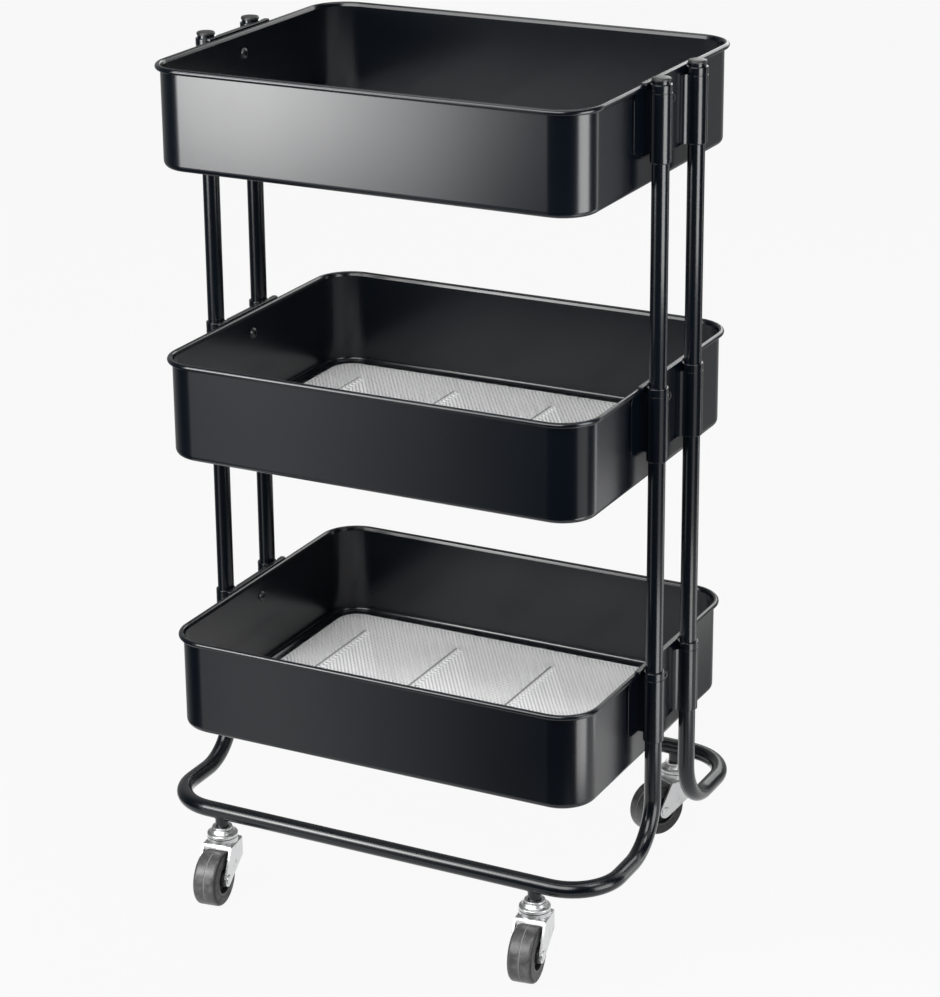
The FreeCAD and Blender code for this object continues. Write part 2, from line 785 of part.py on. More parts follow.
def save_posts():
    for side_name, side in (("front", -1), ("rear", 1)):
        save("base_tube_" + side_name, base_tube(side))
        for end_name, end in (("left", -1), ("right", 1)):
            place = side_name + "_" + end_name
            x = end * post_x
            y = side * post_half_spacing
            save("lower_post_" + place, lower_post(x, y))
            save("upper_post_" + place, upper_post(x, y))
            save("post_cap_" + place, post_cap(x, y))


def save_casters():
    caster_places = {
        "front_left": (-1, -1, front_trail_angle),
        "front_right": (1, -1, front_trail_angle),
        "rear_left": (-1, 1, rear_left_trail_angle),
        "rear_right": (1, 1, rear_right_trail_angle),
    }
    caster_pieces = {
        "stem": caster_stem(),
        "top_cup": caster_top_cup(),
        "balls": caster_balls(),
        "fork": caster_fork(),
        "axle": caster_axle(),
        "hub": caster_hub(),
        "tyre": caster_tyre(),
    }
    bosses = []
    for place, (end, side, angle) in caster_places.items():
        x = end * caster_half_spacing
        y = side * base_rail_half_spacing
        bosses.append(stem_boss(x, y))
        for piece, shape in caster_pieces.items():
            save("caster_" + piece + "_" + place, placed(shape, x, y, angle))
    save("stem_bosses", Part.makeCompound(bosses))


os.makedirs("parts", exist_ok=True)
save_baskets()
save_posts()
save_casters()
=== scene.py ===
# Looks of the rolling basket cart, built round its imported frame.
# Metres, +Z up. The origin is on the floor under the middle of the cart, +X runs along the baskets'
# length and +Y runs away from the front.
import json
import math

import bmesh
import bpy
from bpy.props import FloatProperty, FloatVectorProperty, PointerProperty
from mathutils import Matrix, Vector


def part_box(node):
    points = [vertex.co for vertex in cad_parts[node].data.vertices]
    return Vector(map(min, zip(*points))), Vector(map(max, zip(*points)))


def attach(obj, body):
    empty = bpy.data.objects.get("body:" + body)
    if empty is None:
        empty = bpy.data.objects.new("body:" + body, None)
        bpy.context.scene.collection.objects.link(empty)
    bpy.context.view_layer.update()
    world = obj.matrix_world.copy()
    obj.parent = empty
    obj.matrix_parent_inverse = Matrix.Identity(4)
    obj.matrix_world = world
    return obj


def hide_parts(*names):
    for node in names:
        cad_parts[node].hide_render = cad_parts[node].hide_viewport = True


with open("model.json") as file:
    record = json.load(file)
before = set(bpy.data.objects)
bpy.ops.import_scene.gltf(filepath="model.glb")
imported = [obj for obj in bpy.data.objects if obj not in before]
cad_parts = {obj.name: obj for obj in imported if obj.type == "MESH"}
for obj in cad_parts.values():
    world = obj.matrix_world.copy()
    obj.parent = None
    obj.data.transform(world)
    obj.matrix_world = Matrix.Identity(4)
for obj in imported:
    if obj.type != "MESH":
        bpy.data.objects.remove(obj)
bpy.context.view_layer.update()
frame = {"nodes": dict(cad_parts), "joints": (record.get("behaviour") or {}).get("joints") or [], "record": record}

bl_info = {
    "name": "Rolling Basket Cart",
    "version": (1, 0, 0),
    "blender": (4, 5, 0),
    "location": "View3D > Sidebar > Cart",
    "description": "Builds the visible pieces of a rolling basket cart round its packed frame",
    "category": "Object",
}

TIERS = ("top", "middle", "bottom")
PLACES = ("front_left", "front_right", "rear_left", "rear_right")
CART = "cart_frame"
COAT = "black_powder_coat"
MESH = "light_grey_mesh"
DARK_STEEL = "blackened_steel"
ZINC = "zinc_plated_steel"
CAP_PLASTIC = "black_plastic"
HUB_PLASTIC = "grey_hub_plastic"
TYRE = "dark_grey_tyre"
# The frame's own materials have the slots' names, so the finishes here end differently
FINISH_ENDING = "_finish"
MILLIMETRE = 0.001
WELD_DISTANCE = 1e-6
UP = Vector((0, 0, 1))
AHEAD = Vector((0, 1, 0))
MIDDLE = Vector((0, 0, 0.4))
# Number and colour sockets of a Mix node share their names, so these go by index
MIX_FACTOR = 0
MIX_COLOURS = (6, 7)
MIX_RESULT = 2
# Mesh floor: its sheet, the points kept along its strands, and how much of a rib's half width is level
MESH_THICKNESS = 0.8 * MILLIMETRE
STRAND_STEP = 0.8 * MILLIMETRE
FAMILY_LIFT = 0.06 * MILLIMETRE
KEPT_STEPS = 1.5
CORNER_STEPS = 10
RIB_COUNT = 4
RIB_CREST = 0.35
# Rolled bead: degrees from where it meets the wall's inside, over its top, to the crease outside
BEAD_ARC = (158, -118)
# Weld round a boss: (outwards, down) points in shares of its width
WELD_BEAD = ((0.0, 1.4), (0.35, 0.75), (0.8, 0.1))
# A slab's edges are rounded where its faces turn by more than these degrees
SLAB_CORNER = 40.0
BALL_COUNT = 12
BALL_SEGMENTS = 20
BALL_ROWS = 10
# Brightness shares of the left panel's columns from left to right, then (lowest, highest, share) rows
PANEL_COLUMN_SHARES = (0.4, 0.7, 1.1, 1.1, 0.88, 0.52, 0.46, 0.12, 0.03)
PANEL_ROWS = ((-0.4, 0.38, 0.065), (0.38, 0.44, 0.3), (0.44, 0.51, 0.7), (0.51, 0.9, 1.0))
STRIP_ROWS = ((0.03, 0.2, 0.7), (0.2, 0.5, 0.12), (0.5, 0.8, 1.0))
# Soft boxes: name, place, what each faces, its sides and the setting with its brightness
SOFT_BOXES = (
    ("rear_strip", (0.74, 0.55, 0.35), (0, 0, 0.35), (0.12, 1.1), "rear_radiance"),
    ("overhead", (0, 0.1, 2.2), MIDDLE, (1.8, 1.4), "overhead_radiance"),
    ("front_box", (-0.2, -1.7, 1.75), MIDDLE, (2.4, 1.3), "front_radiance"),
    ("back_box", (0.2, 2.0, 1.35), MIDDLE, (1.8, 0.9), "back_radiance"),
    ("low_glow", (0, 0, -0.03), MIDDLE, (0.9, 0.8), "low_radiance"),
    ("right_glow", (0.8, 0.45, -0.03), (0.8, 0.45, 0.97), (0.7, 1.3), "low_radiance"),
)


# Settings
def length(name, description, default):
    """A length that shows in the scene's own unit."""
    return FloatProperty(name=name, description=description, default=default, unit="LENGTH", precision=5)


def colour(name, description, default):
    """A linear colour without alpha."""
    return FloatVectorProperty(
        name=name, description=description, default=default, subtype="COLOR", size=3, min=0, max=1
    )


def angle(name, description, degrees):
    """An angle, given here in degrees."""
    return FloatProperty(name=name, description=description, default=math.radians(degrees), unit="ROTATION")


def location(name, description, default):
    """A place in the cart's own frame."""
    return FloatVectorProperty(
        name=name, description=description, default=default, subtype="TRANSLATION", unit="LENGTH", size=3
    )


def number(name, description, default, **more):
    """A plain number."""
    return FloatProperty(name=name, description=description, default=default, **more)


class BasketSizes(bpy.types.PropertyGroup):
    """Sheet steel baskets"""

    sheet: length("Sheet", "Thickness of the sheet steel", 0.001)
    corner_radius: length("Corner radius", "Outside radius of the upright corners", 0.032)
    floor_bend_radius: length("Floor bend", "Outside radius between wall and floor border", 0.006)
    bead_diameter: length("Rim bead", "Diameter of the rolled rim", 0.005)
    border_width: length("Floor border", "Width of the border round the floor's opening", 0.018)
    crease_radius: length("Crease radius", "Radius in the crease under the rolled rim", 0.0005)


class MeshFloorSizes(bpy.types.PropertyGroup):
    """Expanded mesh of the baskets' floors"""

    corner_radius: length("Corner radius", "Radius of the sheet's corners", 0.021)
    strand_width: length("Strand width", "Width of one strand of the mesh", 0.0018)
    strand_pitch: length("Strand pitch", "Distance between strands, square to them", 0.0033)
    strand_angle: angle("Strand angle", "Angle between the strands and the long side", 57.0)
    edge_width: length("Edge width", "Width of the flat edge round the mesh", 0.0022)
    rib_width: length("Rib width", "Width of a pressed rib", 0.007)
    rib_end_gap: length("Rib end gap", "From a rib's end to the sheet's long edge", 0.0345)
    rib_spacing: length("Rib spacing", "Distance between neighbouring ribs", 0.1)


class TubeSizes(bpy.types.PropertyGroup):
    """Posts, caps and base tubes"""

    diameter: length("Tube diameter", "Outside diameter of posts and base tubes", 0.015)
    wall: length("Tube wall", "Wall of posts and base tubes", 0.001)
    bend_radius: length("Bend radius", "Radius of the base tubes' bends, on their centre line", 0.045)
    swage_length: length("Swage length", "Length of the narrowed end inside the next tube", 0.018)
    fit_gap: length("Fit gap", "Room round a narrowed end or a plug", 0.0001)
    cap_crown: length("Cap crown", "Height of a cap's low crown", 0.0005)
    cap_edge_radius: length("Cap edge", "Radius of a cap's edge", 0.0014)


class BracketSizes(bpy.types.PropertyGroup):
    """Side brackets between the baskets and the posts"""

    fit_gap: length("Fit gap", "Room between the bracket and the basket", 0.0002)
    bore_clearance: length("Bore clearance", "Room round a tube in its sleeve", 0.0001)
    collar_height: length("Collar height", "From a sleeve's top down to its ring groove", 0.006)
    groove_width: length("Groove width", "Height of the ring groove", 0.0012)
    groove_depth: length("Groove depth", "Depth of the ring groove", 0.0005)
    end_chamfer: length("End chamfer", "Chamfer at a sleeve's lower end", 0.0009)
    plate_thickness: length("Plate thickness", "Sheet of the plate between the sleeves", 0.0018)
    blend_radius: length("Blend radius", "Hollow curve between plate and sleeve", 0.007)
    flange_width: length("Flange width", "How wide the flange over the rim is", 0.005)
    flange_margin: length("Flange margin", "How far the flange reaches beyond the sleeves", 0.0035)
    ear_thickness: length("Ear thickness", "Sheet of the ears on the wall", 0.0015)
    ear_corner_radius: length("Ear corner", "Radius of the ears' corners", 0.008)
    ear_rise: length("Ear rise", "From a sleeve's lower end up to the ears", 0.008)
    web_width: length("Web width", "Width of the web behind each sleeve", 0.009)
    boss_radius: length("Boss radius", "Radius of the boss behind the plate", 0.0052)
    screw_drop: length("Screw drop", "From the rim down to the screw", 0.02)


class FastenerSizes(bpy.types.PropertyGroup):
    """Basket screws and their nuts"""

    head_diameter: length("Head diameter", "Diameter of a screw's head", 0.01)
    head_height: length("Head height", "Height of a screw's head", 0.0024)
    socket_width: length("Socket width", "Hexagon socket, across its flats", 0.003)
    socket_depth: length("Socket depth", "Depth of the hexagon socket", 0.0014)
    shank_diameter: length("Shank diameter", "Diameter of a screw's shank", 0.0035)
    end_length: length("Screw end", "How far a screw's end shows beyond its nut", 0.001)
    nut_width: length("Nut width", "Hexagon nut, across its flats", 0.007)
    nut_height: length("Nut height", "Height of a nut", 0.003)


class CasterSizes(bpy.types.PropertyGroup):
    """Casters and wheels"""

    bore_clearance: length("Bore clearance", "Room round a stem or a pin", 0.0001)
    stem_diameter: length("Stem diameter", "Diameter of a threaded stem", 0.008)
    weld_width: length("Weld width", "Weld between a boss and the rail", 0.0008)
    pin_diameter: length("Pin diameter", "Diameter of the pin inside a cup", 0.01)
    cup_roof: length("Cup roof", "Steel above a cup's bore", 0.0016)
    cup_skirt: length("Cup skirt", "Height of a cup's upright skirt", 0.0028)
    cup_collar_radius: length("Cup collar", "Radius of the collar on top of a cup", 0.00925)
    cup_collar_height: length("Cup collar height", "Height of that collar", 0.0018)
    ball_diameter: length("Ball diameter", "Diameter of a ball", 0.0044)
    ball_circle: length("Ball circle", "Diameter of the ring of balls", 0.018)
    fork_edge: length("Fork edges", "Radius of the fork's pressed edges", 0.0004)
    fork_half_width: length("Fork half width", "From the wheel's middle to a leg's outside", 0.0145)
    axle_diameter: length("Axle diameter", "Diameter of an axle", 0.006)
    axle_head_diameter: length("Axle head", "Diameter of a riveted head", 0.009)
    axle_head_height: length("Axle head height", "Height of a riveted head", 0.0014)
    hub_boss_wall: length("Hub boss wall", "Wall of a hub's boss", 0.0039)
    hub_half_boss: length("Hub half boss", "Half of a hub's boss along the axle", 0.0121)
    hub_half_web: length("Hub half web", "Half of a hub's web along the axle", 0.006)
    hub_rim: length("Hub rim", "Thickness of a hub's rim", 0.003)
    wheel_diameter: length("Wheel diameter", "Diameter of a wheel", 0.05)
    wheel_width: length("Wheel width", "Width of a wheel", 0.022)
    tyre_thickness: length("Tyre thickness", "Thickness of a tyre", 0.009)
    tyre_edge_radius: length("Tyre shoulder", "Radius of a tyre's shoulders", 0.0035)
    tyre_groove_width: length("Parting width", "Width of the groove round a tyre", 0.0012)
    tyre_groove_depth: length("Parting depth", "Depth of the groove round a tyre", 0.0008)


class FinishColours(bpy.types.PropertyGroup):
    """Colours of the finishes"""

    coat: colour("Powder coat", "Black powder coat", (0.001, 0.0023, 0.0044))
    mesh: colour("Mesh", "Light grey coat of the mesh floors", (0.82, 0.82, 0.825))
    dark_steel: colour("Blackened steel", "Dark plated screws and nuts", (0.09, 0.09, 0.095))
    zinc: colour("Zinc", "Bright zinc plating", (0.6, 0.605, 0.61))
    cap: colour("Caps", "Moulded black plastic", (0.016, 0.016, 0.017))
    hub: colour("Hubs", "Moulded dark grey plastic", (0.02, 0.02, 0.022))
    tyre: colour("Tyres", "Hard dark grey tread", (0.046, 0.046, 0.047))


class StageSettings(bpy.types.PropertyGroup):
    """Camera, floor and studio light"""

    camera_place: location("Camera place", "Where the camera stands", (1.16692, -2.22973, 1.30221))
    camera_turn: angle("Camera turn", "How far the camera looks to the left of straight ahead", 27.21)
    camera_tilt: angle("Camera tilt", "How far the camera looks down", 18.67)
    camera_roll: angle("Camera roll", "How far the camera leans", -0.487)
    focal_length: number("Focal length", "For a 36 mm long side", 107.855, unit="CAMERA")
    camera_rise: number("Camera rise", "Upward shift, as a share of the long side", -0.0988)
    floor_half: length("Floor reach", "Half of the floor's side", 30.0)
    paleness: number("Paleness", "Brightness of floor and backdrop", 0.955)
    front_gloom: number("Front gloom", "Brightness reflected from the front", 0.03)
    rear_glow: number("Rear glow", "Brightness reflected from behind", 0.42)
    panel_radiance: number("Panel", "Brightness of the left panel", 15.8)
    panel_y: length("Panel place", "How far the left panel stands, along Y", -0.91)
    panel_start: length("Panel start", "Middle of the left panel's first column", -0.765)
    panel_column: length("Panel column", "Width of one column of the left panel", 0.07)
    strip_place: location("Strip place", "Where the right strip stands", (0.5, -0.15, 0.0))
    strip_width: length("Strip width", "Width of the right strip", 0.2)
    strip_radiance: number("Strip", "Brightness of the right strip", 8.0)
    rear_radiance: number("Rear strip", "Brightness of the rear right strip", 2.2)
    overhead_radiance: number("Overhead", "Brightness of the overhead box", 2.2)
    front_radiance: number("Front box", "Brightness of the high front box", 7.0)
    back_radiance: number("Back box", "Brightness of the box behind the cart", 3.4)
    low_radiance: number("Low glow", "Glow that the casters reflect from below", 0.85)


# Node trees
class Wire:
    """One output of a node, so that maths on it can be written as an expression."""

    def __init__(self, nodes, socket):
        self.nodes = nodes
        self.socket = socket

    def output(self, name):
        """Another output of the same node."""
        return Wire(self.nodes, self.socket.node.outputs[name])

    def maths(self, operation, *others):
        return self.nodes.add("ShaderNodeMath", {"operation": operation}, (self, *others))

    def __add__(self, other):
        return self.maths("ADD", other)

    def __sub__(self, other):
        return self.maths("SUBTRACT", other)

    def __rsub__(self, other):
        return self.nodes.add("ShaderNodeMath", {"operation": "SUBTRACT"}, (other, self))

    def __mul__(self, other):
        return self.maths("MULTIPLY", other)

    def __truediv__(self, other):
        return self.maths("DIVIDE", other)

    def __pow__(self, other):
        return self.maths("POWER", other)

    def __gt__(self, other):
        return self.maths("GREATER_THAN", other)

    def __lt__(self, other):
        return self.maths("LESS_THAN", other)

    def __abs__(self):
        return self.maths("ABSOLUTE")

    __radd__ = __add__
    __rmul__ = __mul__

    def eased(self, low, high):
        """0 below low, 1 above high and a smooth rise between them."""
        settings = {"interpolation_type": "SMOOTHSTEP"}
        return self.nodes.add("ShaderNodeMapRange", settings, (self, low, high, 0.0, 1.0))


class Nodes:
    """A node tree with one way to add a node: its type, its settings, then its inputs."""

    def __init__(self, tree):
        self.tree = tree

    def add(self, kind, settings=None, inputs=(), output=0):
        node = self.tree.nodes.new(kind)
        for name, value in (settings or {}).items():
            setattr(node, name, value)
        pairs = inputs.items() if isinstance(inputs, dict) else enumerate(inputs)
        for key, value in pairs:
            if isinstance(value, Wire):
                self.tree.links.new(value.socket, node.inputs[key])
            else:
                node.inputs[key].default_value = value
        return Wire(self, node.outputs[output]) if len(node.outputs) else None

    def mixed(self, factor, first, second):
        """Colour between two colours."""
        inputs = {MIX_FACTOR: factor}
        for index, colour in zip(MIX_COLOURS, (first, second)):
            inputs[index] = colour if isinstance(colour, Wire) else (*colour, 1.0)
        return self.add("ShaderNodeMix", {"data_type": "RGBA"}, inputs, MIX_RESULT)

    def noise(self, place, waves, detail=2.0, roughness=0.5):
        """Noise from 0 to 1 with a number of waves per metre."""
        inputs = {"Vector": place, "Scale": waves, "Detail": detail, "Roughness": roughness}
        return self.add("ShaderNodeTexNoise", None, inputs)

    def bumped(self, height, depth, strength, base=None):
        """Normal that follows a height from 0 to 1, depth metres deep."""
        inputs = {"Strength": strength, "Distance": depth, "Height": height}
        if base:
            inputs["Normal"] = base
        return self.add("ShaderNodeBump", None, inputs)

    def upward(self):
        """How far a surface faces up, from -1 to 1."""
        normal = self.add("ShaderNodeNewGeometry", output="Normal")
        return self.add("ShaderNodeSeparateXYZ", None, (normal,)).output("Z")


# Finishes. Each gives its material's fixed values, and the function that makes the varied ones
def grey(value):
    """Colour without a hue."""
    return (value, value, value)


def scaled(colour, share):
    """The same hue, darker or lighter."""
    return tuple(share * value for value in colour)


def shader_material(name, fixed, varied):
    """Principled material: fixed values stay on its sockets, varied ones come from the nodes."""
    material = bpy.data.materials.new(name)
    material.use_nodes = True
    nodes = Nodes(material.node_tree)
    shader = material.node_tree.nodes["Principled BSDF"]
    for socket, value in fixed.items():
        shader.inputs[socket].default_value = value
    place = nodes.add("ShaderNodeTexCoord", output="Object")
    for socket, wire in varied(nodes, place).items():
        material.node_tree.links.new(wire.socket, shader.inputs[socket])
    return material


def black_powder_coat(colours):
    """Glossy coat with a faint orange peel, and a little dust on what faces up."""
    dust_colour = (0.3, 0.29, 0.27)
    dust_cover = 0.03
    smoothest = 0.17
    rougher_by_cloud = 0.06
    rougher_by_grain = 0.03
    rougher_by_dust = 0.12

    def varied(nodes, place):
        peel = nodes.noise(place, waves=420.0, detail=1.0)
        grain = nodes.noise(place, waves=2600.0, detail=1.0)
        cloud = nodes.noise(place, waves=9.0, detail=3.0)
        level = nodes.upward().eased(low=0.75, high=1.0)
        dust = level * nodes.noise(place, waves=60.0, detail=4.0, roughness=0.6)
        coat = nodes.mixed(cloud, scaled(colours.coat, share=0.7), colours.coat)
        soft = nodes.bumped(peel, depth=0.03 * MILLIMETRE, strength=0.35)
        roughness = smoothest + cloud * rougher_by_cloud + grain * rougher_by_grain + dust * rougher_by_dust
        return {
            "Base Color": nodes.mixed(dust * dust_cover, coat, dust_colour),
            "Roughness": roughness,
            "Normal": nodes.bumped(grain, depth=0.008 * MILLIMETRE, strength=0.3, base=soft),
        }

    return {"IOR": 1.5}, varied


def light_grey_mesh(colours):
    """Satin coat, with painted shade on the strands' sides and a painted shadow along the fold on each rib's left
    flank.
    """
    # Place and strength of the painted shadow along the folds, strength of the painted shade on the strands'
    # sides, and the grey that both darken towards
    fold_place = 0.8
    painted_fold_shadow = 0.85
    painted_side_shade = 0.75
    painted_shade_grey = 0.05
    smoothest = 0.42
    rougher_by_grain = 0.16
    sizes = bpy.context.scene.cart_mesh_floor
    first_fold = (sizes.rib_width * fold_place + (RIB_COUNT - 1) * sizes.rib_spacing) / 2
    rib_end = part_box("top_floor_mesh")[1].y - sizes.rib_end_gap

    def varied(nodes, place):
        cloud = nodes.noise(place, waves=22.0, detail=3.0)
        grain = nodes.noise(place, waves=1500.0)
        spots = nodes.add("ShaderNodeSeparateXYZ", None, (place,))
        # Painted shadow: a dark line along the fold on each rib's left flank, where shade falls
        across = spots.output("X") + first_fold
        from_fold = across.maths("PINGPONG", sizes.rib_spacing / 2) / sizes.rib_width
        fold = (1.0 - from_fold.eased(low=0.14, high=0.36)) * (abs(spots.output("Y")) < rib_end)
        # Painted shade: strand faces that turn sideways are darkened to stand in for the shade in the openings
        side = 1.0 - nodes.upward().eased(low=0.1, high=0.5)
        coat = nodes.mixed(cloud, scaled(colours.mesh, share=0.88), colours.mesh)
        # The painted shade and the painted shadow both darken the coat towards one grey, and the darker of the two
        # wins
        painted_shade = (side * painted_side_shade).maths("MAXIMUM", fold * painted_fold_shadow)
        return {
            "Base Color": nodes.mixed(painted_shade, coat, grey(painted_shade_grey)),
            "Roughness": smoothest + grain * rougher_by_grain,
            "Normal": nodes.bumped(grain, depth=0.02 * MILLIMETRE, strength=0.4),
        }

    return {"IOR": 1.5}, varied


def zinc_plated_steel(colours):
    """Bright plating with fine upright streaks and duller stains."""
    streak_squeeze = 0.15
    smoothest = 0.3
    rougher_by_streaks = 0.14
    rougher_by_stains = 0.12

    def varied(nodes, place):
        drawn = nodes.add("ShaderNodeMapping", None, {"Vector": place, "Scale": (1.0, 1.0, streak_squeeze)})
        streaks = nodes.noise(drawn, waves=900.0, detail=3.0)
        stained = nodes.noise(place, waves=130.0, detail=3.0).eased(low=0.55, high=0.8)
        return {
            "Base Color": nodes.mixed(stained, colours.zinc, scaled(colours.zinc, share=0.66)),
            "Roughness": smoothest + streaks * rougher_by_streaks + stained * rougher_by_stains,
            "Normal": nodes.bumped(streaks, depth=0.012 * MILLIMETRE, strength=0.5),
        }

    return {"Metallic": 1.0}, varied


def mottled(colour, darkest, clouds, grains, depth, smoothest, rougher_by_cloud=0.0, rougher_by_grain=0.0):
    """Clouds of a darker tone over a fine grain, and roughness that follows either."""

    def varied(nodes, place):
        cloud = nodes.noise(place, **clouds)
        grain = nodes.noise(place, **grains)
        return {
            "Base Color": nodes.mixed(cloud, scaled(colour, darkest), colour),
            "Roughness": smoothest + cloud * rougher_by_cloud + grain * rougher_by_grain,
            "Normal": nodes.bumped(grain, depth, strength=0.5),
        }

    return varied


def blackened_steel(colours):
    """Dark plating of the screws and nuts."""
    return {"Metallic": 1.0}, mottled(
        colours.dark_steel,
        darkest=0.6,
        clouds={"waves": 240.0, "detail": 3.0},
        grains={"waves": 2400.0},
        depth=0.01 * MILLIMETRE,
        smoothest=0.3,
        rougher_by_cloud=0.14,
    )


def black_plastic(colours):
    """Moulded caps."""
    return {"IOR": 1.48}, mottled(
        colours.cap,
        darkest=0.8,
        clouds={"waves": 90.0},
        grains={"waves": 1300.0},
        depth=0.02 * MILLIMETRE,
        smoothest=0.34,
        rougher_by_grain=0.12,
    )


def grey_hub_plastic(colours):
    """Moulded hubs."""
    return {"IOR": 1.48}, mottled(
        colours.hub,
        darkest=0.7,
        clouds={"waves": 120.0, "detail": 3.0},
        grains={"waves": 1100.0},
        depth=0.02 * MILLIMETRE,
        smoothest=0.4,
        rougher_by_grain=0.18,
    )


def dark_grey_tyre(colours):
    """Dark dusty tread with a pale band along its parting line, and darker, duller sides."""
    band_colour = (0.26, 0.26, 0.25)
    smoothest = 0.36
    rougher_by_dust = 0.2
    rougher_by_side = 0.12
    grain_share = 0.4

    def varied(nodes, place):
        chart = nodes.add("ShaderNodeUVMap", {"uv_map": "tread"})
        spots = nodes.add("ShaderNodeSeparateXYZ", None, (chart,))
        from_middle = abs(spots.output("X") - 0.5)
        tread_only = spots.output("Y").eased(low=0.9, high=0.96)
        band = (1.0 - from_middle.eased(low=0.012, high=0.034)) * tread_only
        side = from_middle.eased(low=0.4, high=0.49)
        scuffs = nodes.noise(place, waves=180.0, detail=4.0, roughness=0.65)
        grain = nodes.noise(place, waves=1800.0)
        dusty = scuffs.eased(low=0.42, high=0.72)
        tread = nodes.mixed(dusty, colours.tyre, scaled(colours.tyre, share=2.1))
        rubber = nodes.mixed(side, tread, scaled(colours.tyre, share=0.06))
        return {
            "Base Color": nodes.mixed(band, rubber, band_colour),
            "Roughness": smoothest + dusty * rougher_by_dust + side * rougher_by_side,
            "Normal": nodes.bumped(grain * grain_share + scuffs, depth=0.08 * MILLIMETRE, strength=0.5),
        }

    return {"IOR": 1.5}, varied


FINISHES = {
    COAT: black_powder_coat,
    MESH: light_grey_mesh,
    DARK_STEEL: blackened_steel,
    ZINC: zinc_plated_steel,
    CAP_PLASTIC: black_plastic,
    HUB_PLASTIC: grey_hub_plastic,
    TYRE: dark_grey_tyre,
}


def finish(slot):
    """The finish of one of the record's slots, made on its first use."""
    name = slot + FINISH_ENDING
    made = bpy.data.materials.get(name)
    return made or shader_material(name, *FINISHES[slot](bpy.context.scene.cart_colours))


# Outlines and skins
def rounded(corners, closed=True, steps=8):
    """Points through (place, radius) corners, where each radius above zero makes an arc."""
    points = []
    for index, (place, radius) in enumerate(corners):
        here = Vector(place)
        at_end = not closed and index in (0, len(corners) - 1)
        if at_end or not radius:
            points.append(here)
            continue
        to_before = (Vector(corners[index - 1][0]) - here).normalized()
        to_after = (Vector(corners[(index + 1) % len(corners)][0]) - here).normalized()
        half_turn = to_before.angle(to_after) / 2
        centre = here + (to_before + to_after).normalized() * radius / math.sin(half_turn)
        start = here + to_before * radius / math.tan(half_turn) - centre
        end = here + to_after * radius / math.tan(half_turn) - centre
        for step in range(steps + 1):
            points.append(centre + start.slerp(end, step / steps).normalized() * radius)
    return points


def arc(centre, radius, start, end, steps):
    """Points of an arc in the plane, with angles in degrees."""
    points = []
    for step in range(steps + 1):
        turn = math.radians(start + (end - start) * step / steps)
        points.append(Vector((centre[0] + radius * math.cos(turn), centre[1] + radius * math.sin(turn))))
    return points


def turns(steps):
    """Angles of the even steps of one whole turn."""
    return [2 * math.pi * step / steps for step in range(steps)]


def skinned(bm, rings, rings_close=False, capped=False):
    """Join rings of points with faces. Each ring closes on itself."""
    rows = [[bm.verts.new(point) for point in ring] for ring in rings]
    count = len(rows)
    for index in range(count if rings_close else count - 1):
        row = rows[index]
        following = rows[(index + 1) % count]
        for step in range(len(row)):
            beside = (step + 1) % len(row)
            bm.faces.new((row[step], row[beside], following[beside], following[step]))
    if capped:
        bm.faces.new(rows[0])
        bm.faces.new(rows[-1])


def lathed(bm, profile, place, steps=64):
    """Turn a closed (radius, height) profile about the Z axis, then move it to its place."""
    rings = []
    for turn in turns(steps):
        ring = [Vector((r * math.cos(turn), r * math.sin(turn), z)) for r, z in profile]
        rings.append([place @ point for point in ring])
    skinned(bm, rings, rings_close=True)


def lathed_mesh(profile, place, steps=64):
    bm = bmesh.new()
    lathed(bm, profile, place, steps)
    return mesh_of(bm)


def mesh_about_x(section, steps=48, **ends):
    """Mesh round the X axis, from what a function gives as the (radius, x) section at each turn."""
    columns = []
    for turn in turns(steps):
        columns.append([Vector((x, r * math.cos(turn), r * math.sin(turn))) for r, x in section(turn)])
    bm = bmesh.new()
    skinned(bm, list(zip(*columns)), **ends)
    return mesh_of(bm)


def tube_rings(path, radii, sides=40):
    """Circles along a path that keep their twist, square to it, one for each radius."""
    rings = []
    across = None
    for index, (here, radius) in enumerate(zip(path, radii)):
        before = path[max(index - 1, 0)]
        after = path[min(index + 1, len(path) - 1)]
        along = (after - before).normalized()
        if across is None:
            across = along.orthogonal().normalized()
        across = (across - along * across.dot(along)).normalized()
        beside = along.cross(across)
        ring = []
        for turn in turns(sides):
            ring.append(here + (across * math.cos(turn) + beside * math.sin(turn)) * radius)
        rings.append(ring)
    return rings


def slab(bm, outline, offset, edge_radius, far_only=False):
    """Draw an outline out to a slab and round its edges, or only those at its far end."""
    part = bmesh.new()
    skinned(part, [outline, [point + offset for point in outline]], capped=True)
    bmesh.ops.recalc_face_normals(part, faces=part.faces)
    middle = outline[0] + offset / 2
    corners = []
    for edge in part.edges:
        far = all((vert.co - middle).dot(offset) > 0 for vert in edge.verts)
        if edge.calc_face_angle() > math.radians(SLAB_CORNER) and (far or not far_only):
            corners.append(edge)
    bmesh.ops.bevel(
        part, geom=corners, offset=edge_radius, segments=3, profile=0.5, affect="EDGES", clamp_overlap=True
    )
    mesh = bpy.data.meshes.new("slab")
    part.to_mesh(mesh)
    part.free()
    bm.from_mesh(mesh)
    bpy.data.meshes.remove(mesh)


def facing(place, axis):
    """Place and turn that lay the Z axis along another axis."""
    turn = Vector(axis).to_track_quat("Z", "Y").to_matrix().to_4x4()
    return Matrix.Translation(place) @ turn


def mirrored(mesh):
    """Copy of a mesh on the cart's other side."""
    copy = mesh.copy()
    copy.transform(Matrix.Scale(-1, 4, (1, 0, 0)))
    copy.flip_normals()
    return copy


def middle_of(node):
    low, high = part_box(node)
    return (Vector(low) + Vector(high)) / 2


def joint(name):
    """Place and axis of one of the frame's joints."""
    found = next(item for item in frame["joints"] if item["name"] == name)
    return Vector(found["pos_m"]), Vector(found["axis"])


def hexagon(width, turn):
    """Distance from a hexagon's middle to its side, in one direction."""
    sixth = math.pi / 3
    return width / 2 / math.cos(turn % sixth - sixth / 2)


